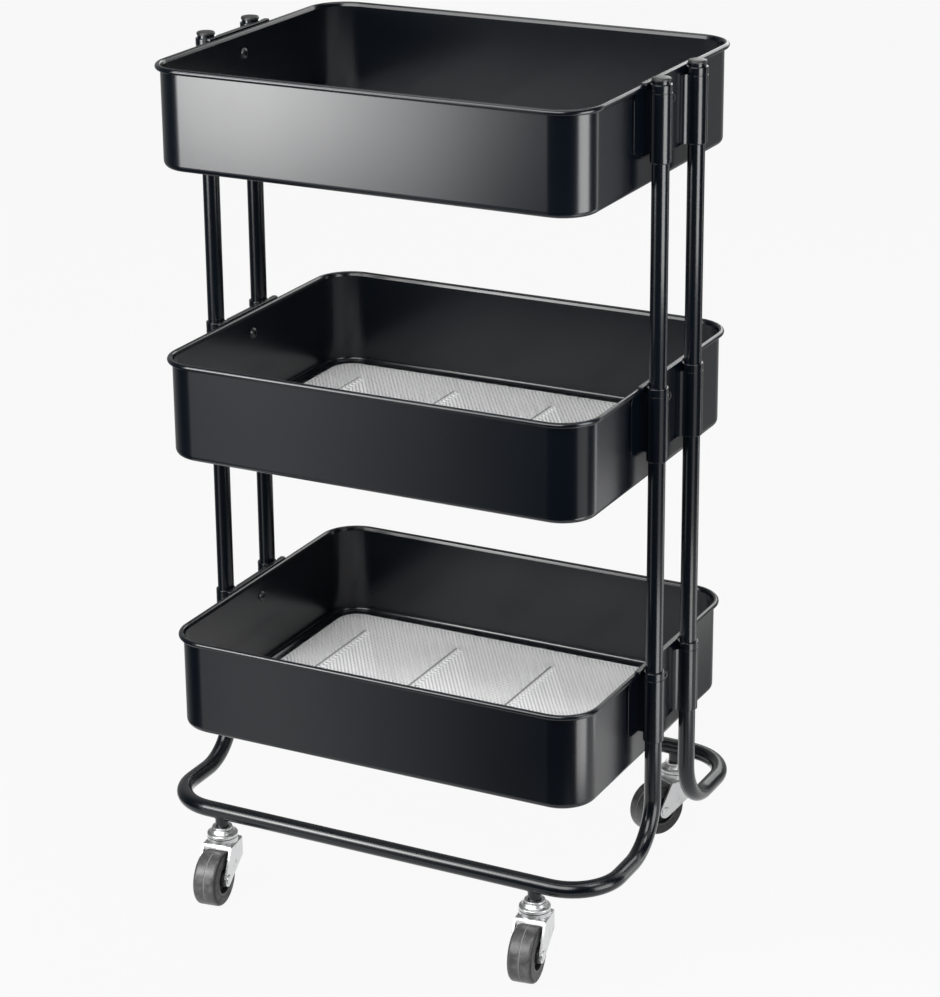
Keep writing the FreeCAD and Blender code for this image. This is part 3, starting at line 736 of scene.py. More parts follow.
def add_piece(name, mesh, slot, body, node, crease=35.0, edge=0.0, even=True):
    """Finished object that rides on a body and stands for one of the frame's nodes."""
    mesh.name = name
    mesh.shade_smooth()
    mesh.set_sharp_from_angle(angle=math.radians(crease))
    piece = bpy.data.objects.new(name, mesh)
    bpy.context.scene.collection.objects.link(piece)
    mesh.materials.clear()
    mesh.materials.append(finish(slot))
    if edge:
        bevelled(piece, edge)
    if even:
        shading = piece.modifiers.new("even_shading", "WEIGHTED_NORMAL")
        shading.keep_sharp = True
    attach(piece, body)
    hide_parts(node)


def mesh_of(bm):
    """Plain mesh with its doubles merged and its faces pointing outwards."""
    bmesh.ops.remove_doubles(bm, verts=bm.verts, dist=WELD_DISTANCE)
    bmesh.ops.recalc_face_normals(bm, faces=bm.faces)
    mesh = bpy.data.meshes.new("piece")
    bm.to_mesh(mesh)
    bm.free()
    return mesh


def copied(node, flat_angle=0.5):
    """Copy of a node's mesh with its doubles merged and its flat faces joined."""
    bm = bmesh.new()
    bm.from_mesh(frame["nodes"][node].data)
    bmesh.ops.remove_doubles(bm, verts=bm.verts, dist=WELD_DISTANCE)
    bmesh.ops.dissolve_limit(
        bm, angle_limit=math.radians(flat_angle), verts=bm.verts, edges=bm.edges, delimit={"NORMAL"}
    )
    return bm


def bevelled(piece, width, segments=2, limit=30.0):
    """Rounded edges where faces meet at more than a limit."""
    edges = piece.modifiers.new("rounded_edges", "BEVEL")
    edges.width = width
    edges.segments = segments
    edges.limit_method = "ANGLE"
    edges.angle_limit = math.radians(limit)
    edges.use_clamp_overlap = True
    edges.harden_normals = True


# Meshes made by nodes
class GeometryRecipe:
    """A tree of geometry nodes with named inputs that ends in one plain mesh."""

    def __init__(self, name, sizes, slot, pattern=None):
        self.name = name
        self.sizes = sizes
        self.slot = slot
        self.pattern = pattern or bpy.data.meshes.new(name)
        self.tree = bpy.data.node_groups.new(name, "GeometryNodeTree")
        self.tree.interface.new_socket("Geometry", in_out="OUTPUT", socket_type="NodeSocketGeometry")
        self.tree.interface.new_socket("Pattern", in_out="INPUT", socket_type="NodeSocketGeometry")
        for label in sizes:
            self.tree.interface.new_socket(label, in_out="INPUT", socket_type="NodeSocketFloat")
        self.nodes = Nodes(self.tree)
        self.inputs = self.nodes.add("NodeGroupInput")

    def size(self, label):
        return self.inputs.output(label)

    def vector(self, x=0.0, y=0.0, z=0.0):
        return self.nodes.add("ShaderNodeCombineXYZ", None, (x, y, z))

    def joined(self, *parts):
        whole = self.nodes.add("GeometryNodeJoinGeometry")
        for part in parts:
            self.tree.links.new(part.socket, whole.socket.node.inputs[0])
        return whole

    def ended(self, geometry):
        """Realize the instances, set the material and connect the output."""
        real = self.nodes.add("GeometryNodeRealizeInstances", None, (geometry,))
        inputs = {"Geometry": real, "Material": finish(self.slot)}
        self.nodes.add("NodeGroupOutput", None, (self.nodes.add("GeometryNodeSetMaterial", None, inputs),))

    def baked(self):
        """Plain mesh that the tree makes."""
        holder = bpy.data.objects.new(self.name, self.pattern)
        bpy.context.scene.collection.objects.link(holder)
        modifier = holder.modifiers.new(self.name, "NODES")
        modifier.node_group = self.tree
        for item in self.tree.interface.items_tree:
            if item.in_out == "INPUT" and item.name in self.sizes:
                modifier[item.identifier] = self.sizes[item.name]
        graph = bpy.context.evaluated_depsgraph_get()
        mesh = bpy.data.meshes.new_from_object(holder.evaluated_get(graph))
        holder.modifiers.remove(modifier)
        bpy.data.objects.remove(holder)
        return mesh


class MeshFloorRecipe(GeometryRecipe):
    """Expanded mesh: two families of flat strands, pressed ribs and a flat edge all round."""

    def __init__(self):
        sizes = bpy.context.scene.cart_mesh_floor
        low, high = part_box("top_floor_mesh")
        labelled = {
            "Half length": high.x,
            "Half width": high.y,
            "Corner radius": sizes.corner_radius,
            "Pitch": sizes.strand_pitch,
            "Angle": sizes.strand_angle,
            "Strand width": sizes.strand_width,
            "Thickness": MESH_THICKNESS,
            "Step": STRAND_STEP,
            "Edge width": sizes.edge_width,
            "Rib spacing": sizes.rib_spacing,
            "Rib end": high.y - sizes.rib_end_gap - sizes.rib_width / 2,
            "Rib half width": sizes.rib_width / 2,
            "Rib height": high.z - low.z - MESH_THICKNESS,
        }
        super().__init__("mesh_floor", labelled, MESH)
        families = [self.strands(1.0, 0.0), self.strands(-1.0, FAMILY_LIFT)]
        self.ended(self.joined(*families, self.border()))

    def place(self):
        position = self.nodes.add("GeometryNodeInputPosition")
        parts = self.nodes.add("ShaderNodeSeparateXYZ", None, (position,))
        return parts.output("X"), parts.output("Y")

    def rectangle(self, width, height):
        inputs = {"Width": width, "Height": height}
        return self.nodes.add("GeometryNodeCurvePrimitiveQuadrilateral", {"mode": "RECTANGLE"}, inputs)

    def swept(self, curve, section, caps=False):
        """Section along a curve, with its width kept level."""
        level = self.nodes.add("GeometryNodeSetCurveNormal", {"mode": "Z_UP"}, (curve,))
        inputs = {"Curve": level, "Profile Curve": section, "Fill Caps": caps}
        return self.nodes.add("GeometryNodeCurveToMesh", None, inputs)

    def outside(self):
        """How far a point lies outside the sheet, below zero on it."""
        x, y = self.place()
        corner = self.size("Corner radius")
        over_x = abs(x) - self.size("Half length") + corner
        over_y = abs(y) - self.size("Half width") + corner
        clear_x = over_x.maths("MAXIMUM", 0.0)
        clear_y = over_y.maths("MAXIMUM", 0.0)
        inside = over_x.maths("MAXIMUM", over_y).maths("MINIMUM", 0.0)
        return (clear_x * clear_x + clear_y * clear_y) ** 0.5 + inside - corner

    def rib_share(self):
        """Share of a rib's height at a point."""
        x, y = self.place()
        spacing = self.size("Rib spacing")
        past_rib = abs(x).maths("MODULO", spacing) - spacing * 0.5
        past_end = (abs(y) - self.size("Rib end")).maths("MAXIMUM", 0.0)
        from_rib = (past_rib * past_rib + past_end * past_end) ** 0.5
        half_rib = self.size("Rib half width")
        return 1.0 - from_rib.eased(half_rib * RIB_CREST, half_rib)

    def lines(self, lean):
        """Parallel lines over the whole sheet, turned to one side."""
        half_x = self.size("Half length")
        half_y = self.size("Half width")
        pitch = self.size("Pitch")
        reach = (half_x * half_x + half_y * half_y) ** 0.5
        count = (reach * 2.0 / pitch).maths("CEIL")
        row = self.nodes.add("GeometryNodeMeshLine", {"mode": "OFFSET"}, {"Count": count})
        index = self.nodes.add("GeometryNodeInputIndex")
        row_y = (index + 0.5) * pitch - count * pitch * 0.5
        spread = {"Geometry": row, "Position": self.vector(y=row_y)}
        row = self.nodes.add("GeometryNodeSetPosition", None, spread)
        ends = {"Start": self.vector(reach * -1.0), "End": self.vector(reach)}
        line = self.nodes.add("GeometryNodeCurvePrimitiveLine", None, ends)
        lines = self.nodes.add("GeometryNodeInstanceOnPoints", None, {"Points": row, "Instance": line})
        lines = self.nodes.add("GeometryNodeRealizeInstances", None, (lines,))
        turned = {"Geometry": lines, "Rotation": self.vector(z=self.size("Angle") * lean)}
        return self.nodes.add("GeometryNodeTransform", None, turned)

    def strands(self, lean, lift):
        """One family of strands, trimmed to the sheet, with points only where a strand bends or ends."""
        inputs = {"Curve": self.lines(lean), "Length": self.size("Step")}
        lines = self.nodes.add("GeometryNodeResampleCurve", {"mode": "LENGTH"}, inputs)
        outside = self.outside()
        beyond = outside > 0.0
        near_edge = outside > self.size("Step") * -KEPT_STEPS
        plain = 1.0 - near_edge.maths("MAXIMUM", self.rib_share() > 0.0)
        unneeded = {"Geometry": lines, "Selection": beyond.maths("MAXIMUM", plain) > 0.5}
        lines = self.nodes.add("GeometryNodeDeleteGeometry", {"domain": "POINT"}, unneeded)
        rise = self.vector(z=self.rib_share() * self.size("Rib height") + lift)
        lines = self.nodes.add("GeometryNodeSetPosition", None, {"Geometry": lines, "Offset": rise})
        section = self.rectangle(self.size("Strand width"), self.size("Thickness") - 2 * FAMILY_LIFT)
        return self.swept(lines, section, caps=True)

    def border(self):
        """Flat edge with round corners."""
        edge = self.size("Edge width")
        outline = self.rectangle(self.size("Half length") * 2.0 - edge, self.size("Half width") * 2.0 - edge)
        inputs = {"Curve": outline, "Count": CORNER_STEPS, "Radius": self.size("Corner radius") - edge * 0.5}
        outline = self.nodes.add("GeometryNodeFilletCurve", {"mode": "POLY"}, inputs)
        return self.swept(outline, self.rectangle(edge, self.size("Thickness")))


# Stage
class CART_OT_stage(bpy.types.Operator):
    """Set the pale floor, the studio light and the camera"""

    bl_idname = "cart.stage"
    bl_label = "Stage"
    bl_options = {"REGISTER", "UNDO"}

    def execute(self, context):
        scene = context.scene
        settings = scene.cart_stage
        scene.view_settings.view_transform = "Standard"
        self.add_camera(scene, settings)
        self.add_floor(scene, settings)
        self.add_surroundings(scene, settings)
        self.add_lights(scene, settings)
        return {"FINISHED"}

    def add_camera(self, scene, settings):
        turn = settings.camera_turn
        tilt = settings.camera_tilt
        ahead = Vector((-math.sin(turn) * math.cos(tilt), math.cos(turn) * math.cos(tilt), -math.sin(tilt)))
        right = Vector((math.cos(turn), math.sin(turn), 0))
        above = right.cross(ahead)
        axes = Matrix((right, above, -ahead)).transposed().to_4x4()
        data = bpy.data.cameras.new("camera")
        data.lens = settings.focal_length
        data.shift_y = settings.camera_rise
        camera = bpy.data.objects.new("camera", data)
        scene.collection.objects.link(camera)
        lean = Matrix.Rotation(settings.camera_roll, 4, "Z")
        camera.matrix_world = Matrix.Translation(settings.camera_place) @ axes @ lean
        scene.camera = camera

    def add_floor(self, scene, settings):
        bm = bmesh.new()
        bmesh.ops.create_grid(bm, x_segments=1, y_segments=1, size=settings.floor_half)
        mesh = bpy.data.meshes.new("floor")
        bm.to_mesh(mesh)
        bm.free()
        floor = bpy.data.objects.new("floor", mesh)
        scene.collection.objects.link(floor)
        mesh.materials.append(pale_floor(settings))
        floor.visible_glossy = False

    def add_surroundings(self, scene, settings):
        """World that is as pale as the floor to the camera, dim in front and brighter behind on the left."""
        leftwards = 0.5
        brightest = 1.15
        world = bpy.data.worlds.new("studio")
        world.use_nodes = True
        scene.world = world
        nodes = Nodes(world.node_tree)
        way = nodes.add("ShaderNodeTexCoord", output="Generated")
        parts = nodes.add("ShaderNodeSeparateXYZ", None, (way,))
        behind = (parts.output("Y") - parts.output("X") * leftwards).eased(0.0, brightest)
        dim = nodes.mixed(behind, grey(settings.front_gloom), grey(settings.rear_glow))
        seen = nodes.add("ShaderNodeLightPath", output="Is Camera Ray")
        tint = nodes.mixed(seen, dim, grey(settings.paleness))
        world.node_tree.links.new(tint.socket, world.node_tree.nodes["Background"].inputs["Color"])

    def add_lights(self, scene, settings):
        """A graded panel on the left, a strip on the right and soft boxes all round."""
        for index, column_share in enumerate(PANEL_COLUMN_SHARES):
            x = settings.panel_start + index * settings.panel_column
            for low, high, row_share in PANEL_ROWS:
                place = Vector((x, settings.panel_y, (low + high) / 2))
                name = "left_panel_%d_%d" % (index, round(high * 100))
                size = (settings.panel_column, high - low)
                radiance = settings.panel_radiance * column_share * row_share
                self.add_panel(scene, name, place, place + AHEAD, size, radiance)
        for low, high, share in STRIP_ROWS:
            place = Vector((*settings.strip_place[:2], (low + high) / 2))
            target = UP * place.z
            name = "right_strip_%d" % round(high * 100)
            size = (settings.strip_width, high - low)
            self.add_panel(scene, name, place, target, size, settings.strip_radiance * share)
        for name, place, target, size, setting in SOFT_BOXES:
            self.add_panel(scene, name, place, target, size, getattr(settings, setting))

    def add_panel(self, scene, name, place, target, size, radiance):
        """Flat light whose face has a given brightness."""
        data = bpy.data.lights.new(name, "AREA")
        data.shape = "RECTANGLE"
        data.size, data.size_y = size
        data.energy = radiance * math.pi * size[0] * size[1]
        light = bpy.data.objects.new(name, data)
        scene.collection.objects.link(light)
        light.matrix_world = facing(place, Vector(place) - Vector(target))
        light.visible_camera = False


def pale_floor(settings):
    """Floor that glows by itself, so that it stays evenly pale with only a faint shade on it."""
    least_reflected = 0.0095
    most_reflected = 0.0105
    reflected_light = 0.02
    fixed = {
        "Roughness": 0.9,
        "Specular IOR Level": 0.0,
        "Emission Color": (1.0, 1.0, 1.0, 1.0),
        "Emission Strength": settings.paleness - reflected_light,
    }

    def varied(nodes, place):
        cloud = nodes.noise(place, waves=1.5)
        return {"Base Color": nodes.mixed(cloud, grey(least_reflected), grey(most_reflected))}

    return shader_material("pale_floor", fixed, varied)


# Pieces
class CART_OT_frame_finishes(bpy.types.Operator):
    """Give every node of the frame the material of its slot"""

    bl_idname = "cart.frame_finishes"
    bl_label = "Frame finishes"
    bl_options = {"REGISTER", "UNDO"}

    def execute(self, context):
        for part in frame["record"]["subparts"]:
            mesh = frame["nodes"][part["node"]].data
            mesh.materials.clear()
            mesh.materials.append(finish(part["material_slot"]))
        return {"FINISHED"}


class CART_OT_baskets(bpy.types.Operator):
    """Build the three sheet-steel baskets with their rolled rims"""

    bl_idname = "cart.baskets"
    bl_label = "Baskets"
    bl_options = {"REGISTER", "UNDO"}

    def execute(self, context):
        for tier in TIERS:
            node = tier + "_basket"
            low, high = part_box(node)
            bm = bmesh.new()
            skinned(bm, self.rings(context.scene.cart_basket, low, high), rings_close=True)
            add_piece(node + "_shell", mesh_of(bm), COAT, CART, node)
        return {"FINISHED"}

    def profile(self, sizes, bottom, rim):
        """Section of the wall as (outwards, height) points, from the rolled bead round to the border."""
        sheet = sizes.sheet
        bead = sizes.bead_diameter / 2
        bead_middle = rim - bead
        crease_share = 0.66
        crease = bead_middle - bead * crease_share
        border = sizes.border_width
        border_edge = sheet * 0.3
        bend = sizes.floor_bend_radius
        points = arc((bead - sheet / 2, bead_middle), bead, *BEAD_ARC, steps=22)
        points += rounded(
            [
                (points[-1], 0),
                ((0, crease), sizes.crease_radius),
                ((0, bottom), bend),
                ((-border, bottom), border_edge),
                ((-border, bottom + sheet), border_edge),
                ((-sheet, bottom + sheet), bend - sheet),
                ((-sheet, bead_middle - bead / 2), bead / 2),
                (points[0], 0),
            ],
            closed=False,
        )[1:-1]
        return points

    def rings(self, sizes, low, high, steps=16):
        """The wall's section all round the basket, in even steps at each corner."""
        reach = sizes.bead_diameter - sizes.sheet / 2
        radius = sizes.corner_radius
        centre_x = high.x - reach - radius
        centre_y = high.y - reach - radius
        profile = self.profile(sizes, low.z, high.z)
        rings = []
        for quarter, (side_x, side_y) in enumerate(((1, 1), (-1, 1), (-1, -1), (1, -1))):
            centre = Vector((side_x * centre_x, side_y * centre_y, 0))
            for step in range(steps + 1):
                turn = math.radians(90 * (quarter + step / steps))
                outwards = Vector((math.cos(turn), math.sin(turn), 0))
                rings.append([centre + outwards * (radius + out) + UP * z for out, z in profile])
        return rings


class CART_OT_mesh_floors(bpy.types.Operator):
    """Build the three floors of expanded mesh"""

    bl_idname = "cart.mesh_floors"
    bl_label = "Mesh floors"
    bl_options = {"REGISTER", "UNDO"}

    def execute(self, context):
        flat = MeshFloorRecipe().baked()
        for tier in TIERS:
            node = tier + "_floor_mesh"
            mesh = flat.copy()
            mesh.transform(Matrix.Translation(UP * (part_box(node)[0].z + MESH_THICKNESS / 2)))
            add_piece(tier + "_mesh_sheet", mesh, MESH, CART, node, even=False)
        return {"FINISHED"}


class CART_OT_brackets(bpy.types.Operator):
    """Build the six side brackets: sleeves, plate, narrow flange, ears and screw boss"""

    bl_idname = "cart.brackets"
    bl_label = "Side brackets"
    bl_options = {"REGISTER", "UNDO"}

    def execute(self, context):
        for tier in TIERS:
            right = mesh_of(self.right_hand(context.scene, tier))
            for side, mesh in (("left", mirrored(right)), ("right", right)):
                name = tier + "_side_bracket_" + side
                add_piece(name, mesh, COAT, CART, tier + "_bracket_" + side)
        return {"FINISHED"}

    def right_hand(self, scene, tier):
        sizes = scene.cart_bracket
        tube = scene.cart_tube
        low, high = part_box(tier + "_bracket_right")
        rim_reach, _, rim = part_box(tier + "_basket")[1]
        post = middle_of("upper_post_rear_right")
        radius = high.x - post.x
        plate_inner = rim_reach + sizes.fit_gap
        plate_outer = plate_inner + sizes.plate_thickness
        flange_bottom = rim + sizes.fit_gap
        edge_radius = sizes.groove_depth
        bm = bmesh.new()
        plate = [(plate_inner, -1), (plate_inner, 1), (plate_outer, 1), (plate_outer, -1)]
        plate = [Vector((x, side * post.y, flange_bottom)) for x, side in plate]
        slab(bm, plate, UP * (low.z - flange_bottom), edge_radius, far_only=True)
        flange = self.flange(sizes, post, radius, plate_outer)
        flange = [point.to_3d() + UP * flange_bottom for point in flange]
        slab(bm, flange, UP * (high.z - flange_bottom), edge_radius, far_only=True)
        ear_bottom = low.z + sizes.ear_rise
        ear_top = rim - scene.cart_basket.bead_diameter - sizes.fit_gap
        ears = [(-1, ear_bottom), (1, ear_bottom), (1, ear_top), (-1, ear_top)]
        corners = [((low.x, side * high.y, z), sizes.ear_corner_radius) for side, z in ears]
        slab(bm, rounded(corners, steps=6), Vector((sizes.ear_thickness, 0, 0)), edge_radius / 2)
        blend_bottom = low.z + sizes.end_chamfer
        blend_height = rim - sizes.collar_height - blend_bottom
        web_reach = Vector((plate_outer - low.x, 0, 0))
        for side in (-1, 1):
            post_y = side * post.y
            lathed(bm, self.sleeve(sizes, tube, radius, low.z, rim), Matrix.Translation((post.x, post_y, 0)))
            blend = self.blend(sizes, tube, post, radius, plate_outer)
            blend = [Vector((point.x, side * point.y, blend_bottom)) for point in blend]
            skinned(bm, [blend, [point + UP * blend_height for point in blend]], capped=True)
            web = [Vector((low.x, post_y + end * sizes.web_width / 2, z)) for end, z in ears]
            skinned(bm, [web, [point + web_reach for point in web]], capped=True)
        boss = [(sizes.boss_radius / 2, 0), (sizes.boss_radius, 0)]
        boss += [(r, plate_inner - low.x) for r, _ in reversed(boss)]
        lathed(bm, boss, facing((low.x, 0, rim - sizes.screw_drop), (1, 0, 0)), steps=32)
        return bm

    def sleeve(self, sizes, tube, radius, bottom, rim):
        """Section of a sleeve with its ring groove and its chamfered lower end."""
        bore = tube.diameter / 2 + sizes.bore_clearance
        groove = radius - sizes.groove_depth
        groove_top = rim - sizes.collar_height
        groove_bottom = groove_top - sizes.groove_width
        soft = sizes.groove_depth / 3
        corners = [
            ((bore, bottom), 0),
            ((radius - sizes.end_chamfer, bottom), soft),
            ((radius, bottom + sizes.end_chamfer), soft),
            ((radius, groove_bottom), soft),
            ((groove, groove_bottom), 0),
            ((groove, groove_top), 0),
            ((radius, groove_top), soft),
            ((radius, rim), sizes.groove_depth),
            ((bore, rim), soft),
        ]
        return rounded(corners, steps=3)

    def blend(self, sizes, tube, post, radius, plate_outer):
        """Outline from above of the hollow curve between the plate and a sleeve."""
        hollow = sizes.blend_radius
        centre_x = plate_outer + hollow
        inward = math.sqrt((radius + hollow) ** 2 - (post.x - centre_x) ** 2)
        turn = math.degrees(math.atan2(inward, post.x - centre_x))
        inside_wall = (radius + tube.diameter / 2) / 2
        points = arc((centre_x, post.y - inward), hollow, 180, turn, steps=10)
        points += arc((post.x, post.y), inside_wall, 180 + turn, 180, steps=6)
        middle_x = plate_outer - sizes.plate_thickness / 2
        return points + [Vector((middle_x, post.y)), Vector((middle_x, post.y - inward))]

    def flange(self, sizes, post, radius, plate_outer):
        """Outline from above of the flange, with round corners and room for the sleeves."""
        room = radius + sizes.fit_gap
        opening = math.degrees(math.acos((post.x - plate_outer) / room))
        corner = sizes.flange_width / 4
        inner = plate_outer - sizes.flange_width + corner
        outer = plate_outer - corner
        end = post.y + radius + sizes.flange_margin - corner
        points = arc((inner, end), corner, 180, 90, steps=4)
        points += arc((outer, end), corner, 90, 0, steps=4)
        for side in (1, -1):
            points += arc((post.x, side * post.y), room, 180 - opening, 180 + opening, steps=10)
        points += arc((outer, -end), corner, 0, -90, steps=4)
        return points + arc((inner, -end), corner, 270, 180, steps=4)


class CART_OT_fasteners(bpy.types.Operator):
    """Set the six basket screws and their nuts in the walls and brackets"""

    bl_idname = "cart.fasteners"
    bl_label = "Screws and nuts"
    bl_options = {"REGISTER", "UNDO"}

    def execute(self, context):
        scene = context.scene
        sizes = scene.cart_fastener
        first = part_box("top_basket")[1].z
        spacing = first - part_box("middle_basket")[1].z
        first -= scene.cart_bracket.screw_drop
        head_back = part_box("top_bracket_right")[0].x - scene.cart_bracket.fit_gap - scene.cart_basket.sheet
        nut_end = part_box("basket_nuts")[1].x
        patterns = {
            "basket_screws": (self.screw(sizes, nut_end - head_back), head_back),
            "basket_nuts": (self.nut(sizes), nut_end - sizes.nut_height),
        }
        for node, (pattern, x) in patterns.items():
            recipe = self.recipe(node, {"Side": x, "First height": first, "Spacing": spacing}, pattern)
            add_piece(node.replace("basket", "wall"), recipe.baked(), DARK_STEEL, CART, node)
        return {"FINISHED"}

    def recipe(self, name, places, pattern):
        """One fastener for each tier, and the same again on the other side."""
        recipe = GeometryRecipe(name, places, DARK_STEEL, pattern)
        nodes = recipe.nodes
        first = recipe.vector(recipe.size("Side"), z=recipe.size("First height"))
        step = recipe.vector(z=recipe.size("Spacing") * -1.0)
        row = {"Count": len(TIERS), "Start Location": first, "Offset": step}
        row = nodes.add("GeometryNodeMeshLine", {"mode": "OFFSET"}, row)
        placed = {"Points": row, "Instance": recipe.size("Pattern")}
        right = nodes.add("GeometryNodeInstanceOnPoints", None, placed)
        left = nodes.add("GeometryNodeTransform", None, {"Geometry": right, "Rotation": (0.0, 0.0, math.pi)})
        recipe.ended(recipe.joined(right, left))
        return recipe

    def screw(self, sizes, grip):
        """Socketed button head with its back at the origin, and a shank along X."""
        front = -sizes.head_height
        head = sizes.head_diameter / 2
        shank = sizes.shank_diameter / 2
        crown_reach = head * 0.92
        flat = sizes.socket_width * 0.72
        upright = 0.2
        outline = [(shank, grip + sizes.end_length), (shank, 0), (head, 0)]
        for point in arc((0, 0), 1, 90, 0, steps=8):
            height = front * (upright + (1 - upright) * point.x)
            outline.append((flat + (crown_reach - flat) * point.y, height))

        def section(turn):
            socket = hexagon(sizes.socket_width, turn)
            return [*outline, (socket, front), (socket, front + sizes.socket_depth)]

        return mesh_about_x(section, capped=True)

    def nut(self, sizes):
        """Hexagon nut with chamfered corners, its back at the origin."""
        bore = sizes.shank_diameter / 2
        height = sizes.nut_height
        chamfer = height * 0.12
        flat = sizes.nut_width / 2
        corner_reach = flat * 0.155
        face = flat * 0.98

        def section(turn):
            side = hexagon(sizes.nut_width, turn)
            low = chamfer * (side - flat) / corner_reach
            return [(bore, 0), (face, 0), (side, low), (side, height - low), (face, height), (bore, height)]

        return mesh_about_x(section, rings_close=True)


class CART_OT_posts(bpy.types.Operator):
    """Build the four posts in two lengths, and their caps"""

    bl_idname = "cart.posts"
    bl_label = "Posts and caps"
    bl_options = {"REGISTER", "UNDO"}

    def execute(self, context):
        tube = context.scene.cart_tube
        for place in PLACES:
            middle = middle_of("upper_post_" + place)
            upright = Matrix.Translation((middle.x, middle.y, 0))
            lengths = (
                ("upper_post_", self.upper(tube, *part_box("upper_post_" + place)), "_tube", COAT),
                ("lower_post_", self.lower(tube, *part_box("lower_post_" + place)), "_tube", COAT),
                ("post_cap_", self.cap(tube, place, middle), "_plug", CAP_PLASTIC),
            )
            for kind, profile, ending, slot in lengths:
                mesh = lathed_mesh(profile, upright)
                add_piece(kind + place + ending, mesh, slot, CART, kind + place)
        return {"FINISHED"}

    def upper(self, tube, low, high):
        """Section of a plain tube with softened ends."""
        radius = tube.diameter / 2
        bore = radius - tube.wall
        corners = [(bore, low.z), (radius, low.z), (radius, high.z), (bore, high.z)]
        return rounded([(corner, tube.wall / 4) for corner in corners], steps=2)

    def lower(self, tube, low, high):
        """Section of a tube with a narrowed upper end."""
        radius = tube.diameter / 2
        bore = radius - tube.wall
        neck = bore - tube.fit_gap
        shoulder = high.z - tube.swage_length
        return [
            (bore, low.z),
            (radius, low.z),
            (radius, shoulder - tube.wall),
            (neck, shoulder),
            (neck, high.z),
            (neck - tube.wall, high.z),
            (neck - tube.wall, shoulder - tube.wall),
            (bore, shoulder - tube.wall * 2),
        ]

    def cap(self, tube, place, middle):
        """Section of a plug with a low crown."""
        low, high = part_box("post_cap_" + place)
        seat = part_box("upper_post_" + place)[1].z
        neck = tube.diameter / 2 - tube.wall - tube.fit_gap
        head = high.x - middle.x
        corners = [
            ((0, low.z), 0),
            ((neck - tube.wall, low.z), 0),
            ((neck, low.z + tube.wall), 0),
            ((neck, seat), 0),
            ((head, seat), tube.cap_crown / 2),
            ((head, high.z - tube.cap_crown), tube.cap_edge_radius),
            ((head / 2, high.z), head),
            ((0, high.z), 0),
        ]
        return rounded(corners, closed=False, steps=6)


class CART_OT_base_tubes(bpy.types.Operator):
    """Bend the two base tubes and weld the stems' bosses under them"""

    bl_idname = "cart.base_tubes"
    bl_label = "Base tubes"
    bl_options = {"REGISTER", "UNDO"}

    def execute(self, context):
        tube = context.scene.cart_tube
        radius = tube.diameter / 2
        post_y = middle_of("upper_post_rear_right").y
        for end, side in (("front", -1), ("rear", 1)):
            node = "base_tube_" + end
            low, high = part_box(node)
            rail_z = low.z + radius
            rail_y = side * (max(abs(low.y), abs(high.y)) - radius)
            foot = Vector((high.x - radius, side * post_y, rail_z))
            rail = Vector((high.x - radius, rail_y, rail_z))
            mesh = self.bent(tube, foot, rail, high.z)
            add_piece("base_rail_" + end, mesh, COAT, CART, node)
        self.add_bosses(context.scene.cart_caster, radius, rail_z)
        return {"FINISHED"}

    def bent(self, tube, foot, rail, top):
        """Tube from one narrowed upright end, round four bends, to the other."""
        radius = tube.diameter / 2
        neck = radius - tube.wall - tube.fit_gap
        shoulder_z = top - tube.swage_length
        swage = UP * (top - shoulder_z)
        shoulder = Vector((foot.x, foot.y, shoulder_z))
        across = Vector((-1, 1, 1))
        bends = [(corner, tube.bend_radius) for corner in (foot, rail, rail * across, foot * across)]
        path = rounded([(shoulder, 0), *bends, (shoulder * across, 0)], closed=False, steps=14)
        outside = [path[0] + swage, path[0], path[0] - UP * tube.wall]
        outside += path[1:-1]
        outside += [path[-1] - UP * tube.wall, path[-1], path[-1] + swage]
        necks = [neck, neck]
        outer = necks + [radius] * len(outside[2:-2]) + necks
        skin = tube_rings(outside, outer)
        lining = tube_rings(outside, [r - tube.wall for r in outer])
        bm = bmesh.new()
        skinned(bm, skin + lining[::-1], rings_close=True)
        return mesh_of(bm)

    def add_bosses(self, sizes, tube_radius, rail_z, steps=64):
        """Round bosses with a bead of weld where they meet the rail."""
        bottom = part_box("stem_bosses")[0].z
        bore = sizes.stem_diameter / 2 + sizes.bore_clearance
        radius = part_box("stem_bosses")[1].x - joint("swivel_front_right")[0].x
        weld = sizes.weld_width
        sunk = tube_radius - weld / 8
        radii = (bore, radius, radius + weld)
        bm = bmesh.new()
        for place in PLACES:
            spot = joint("swivel_" + place)[0]
            rings = []
            for turn in turns(steps):
                across = math.sin(turn)
                seats = [rail_z - math.sqrt(sunk**2 - (r * across) ** 2) for r in radii]
                section = [(bore, bottom), (radius - weld / 2, bottom), (radius, bottom + weld / 2)]
                section += [(radius + weld * out, seats[1] - weld * down) for out, down in WELD_BEAD]
                section += [(radius + weld, seats[2]), (bore, seats[0])]
                outwards = Vector((math.cos(turn), across, 0))
                rings.append([spot.xy.to_3d() + outwards * r + UP * z for r, z in section])
            skinned(bm, rings, rings_close=True)
        add_piece("welded_bosses", mesh_of(bm), COAT, CART, "stem_bosses")


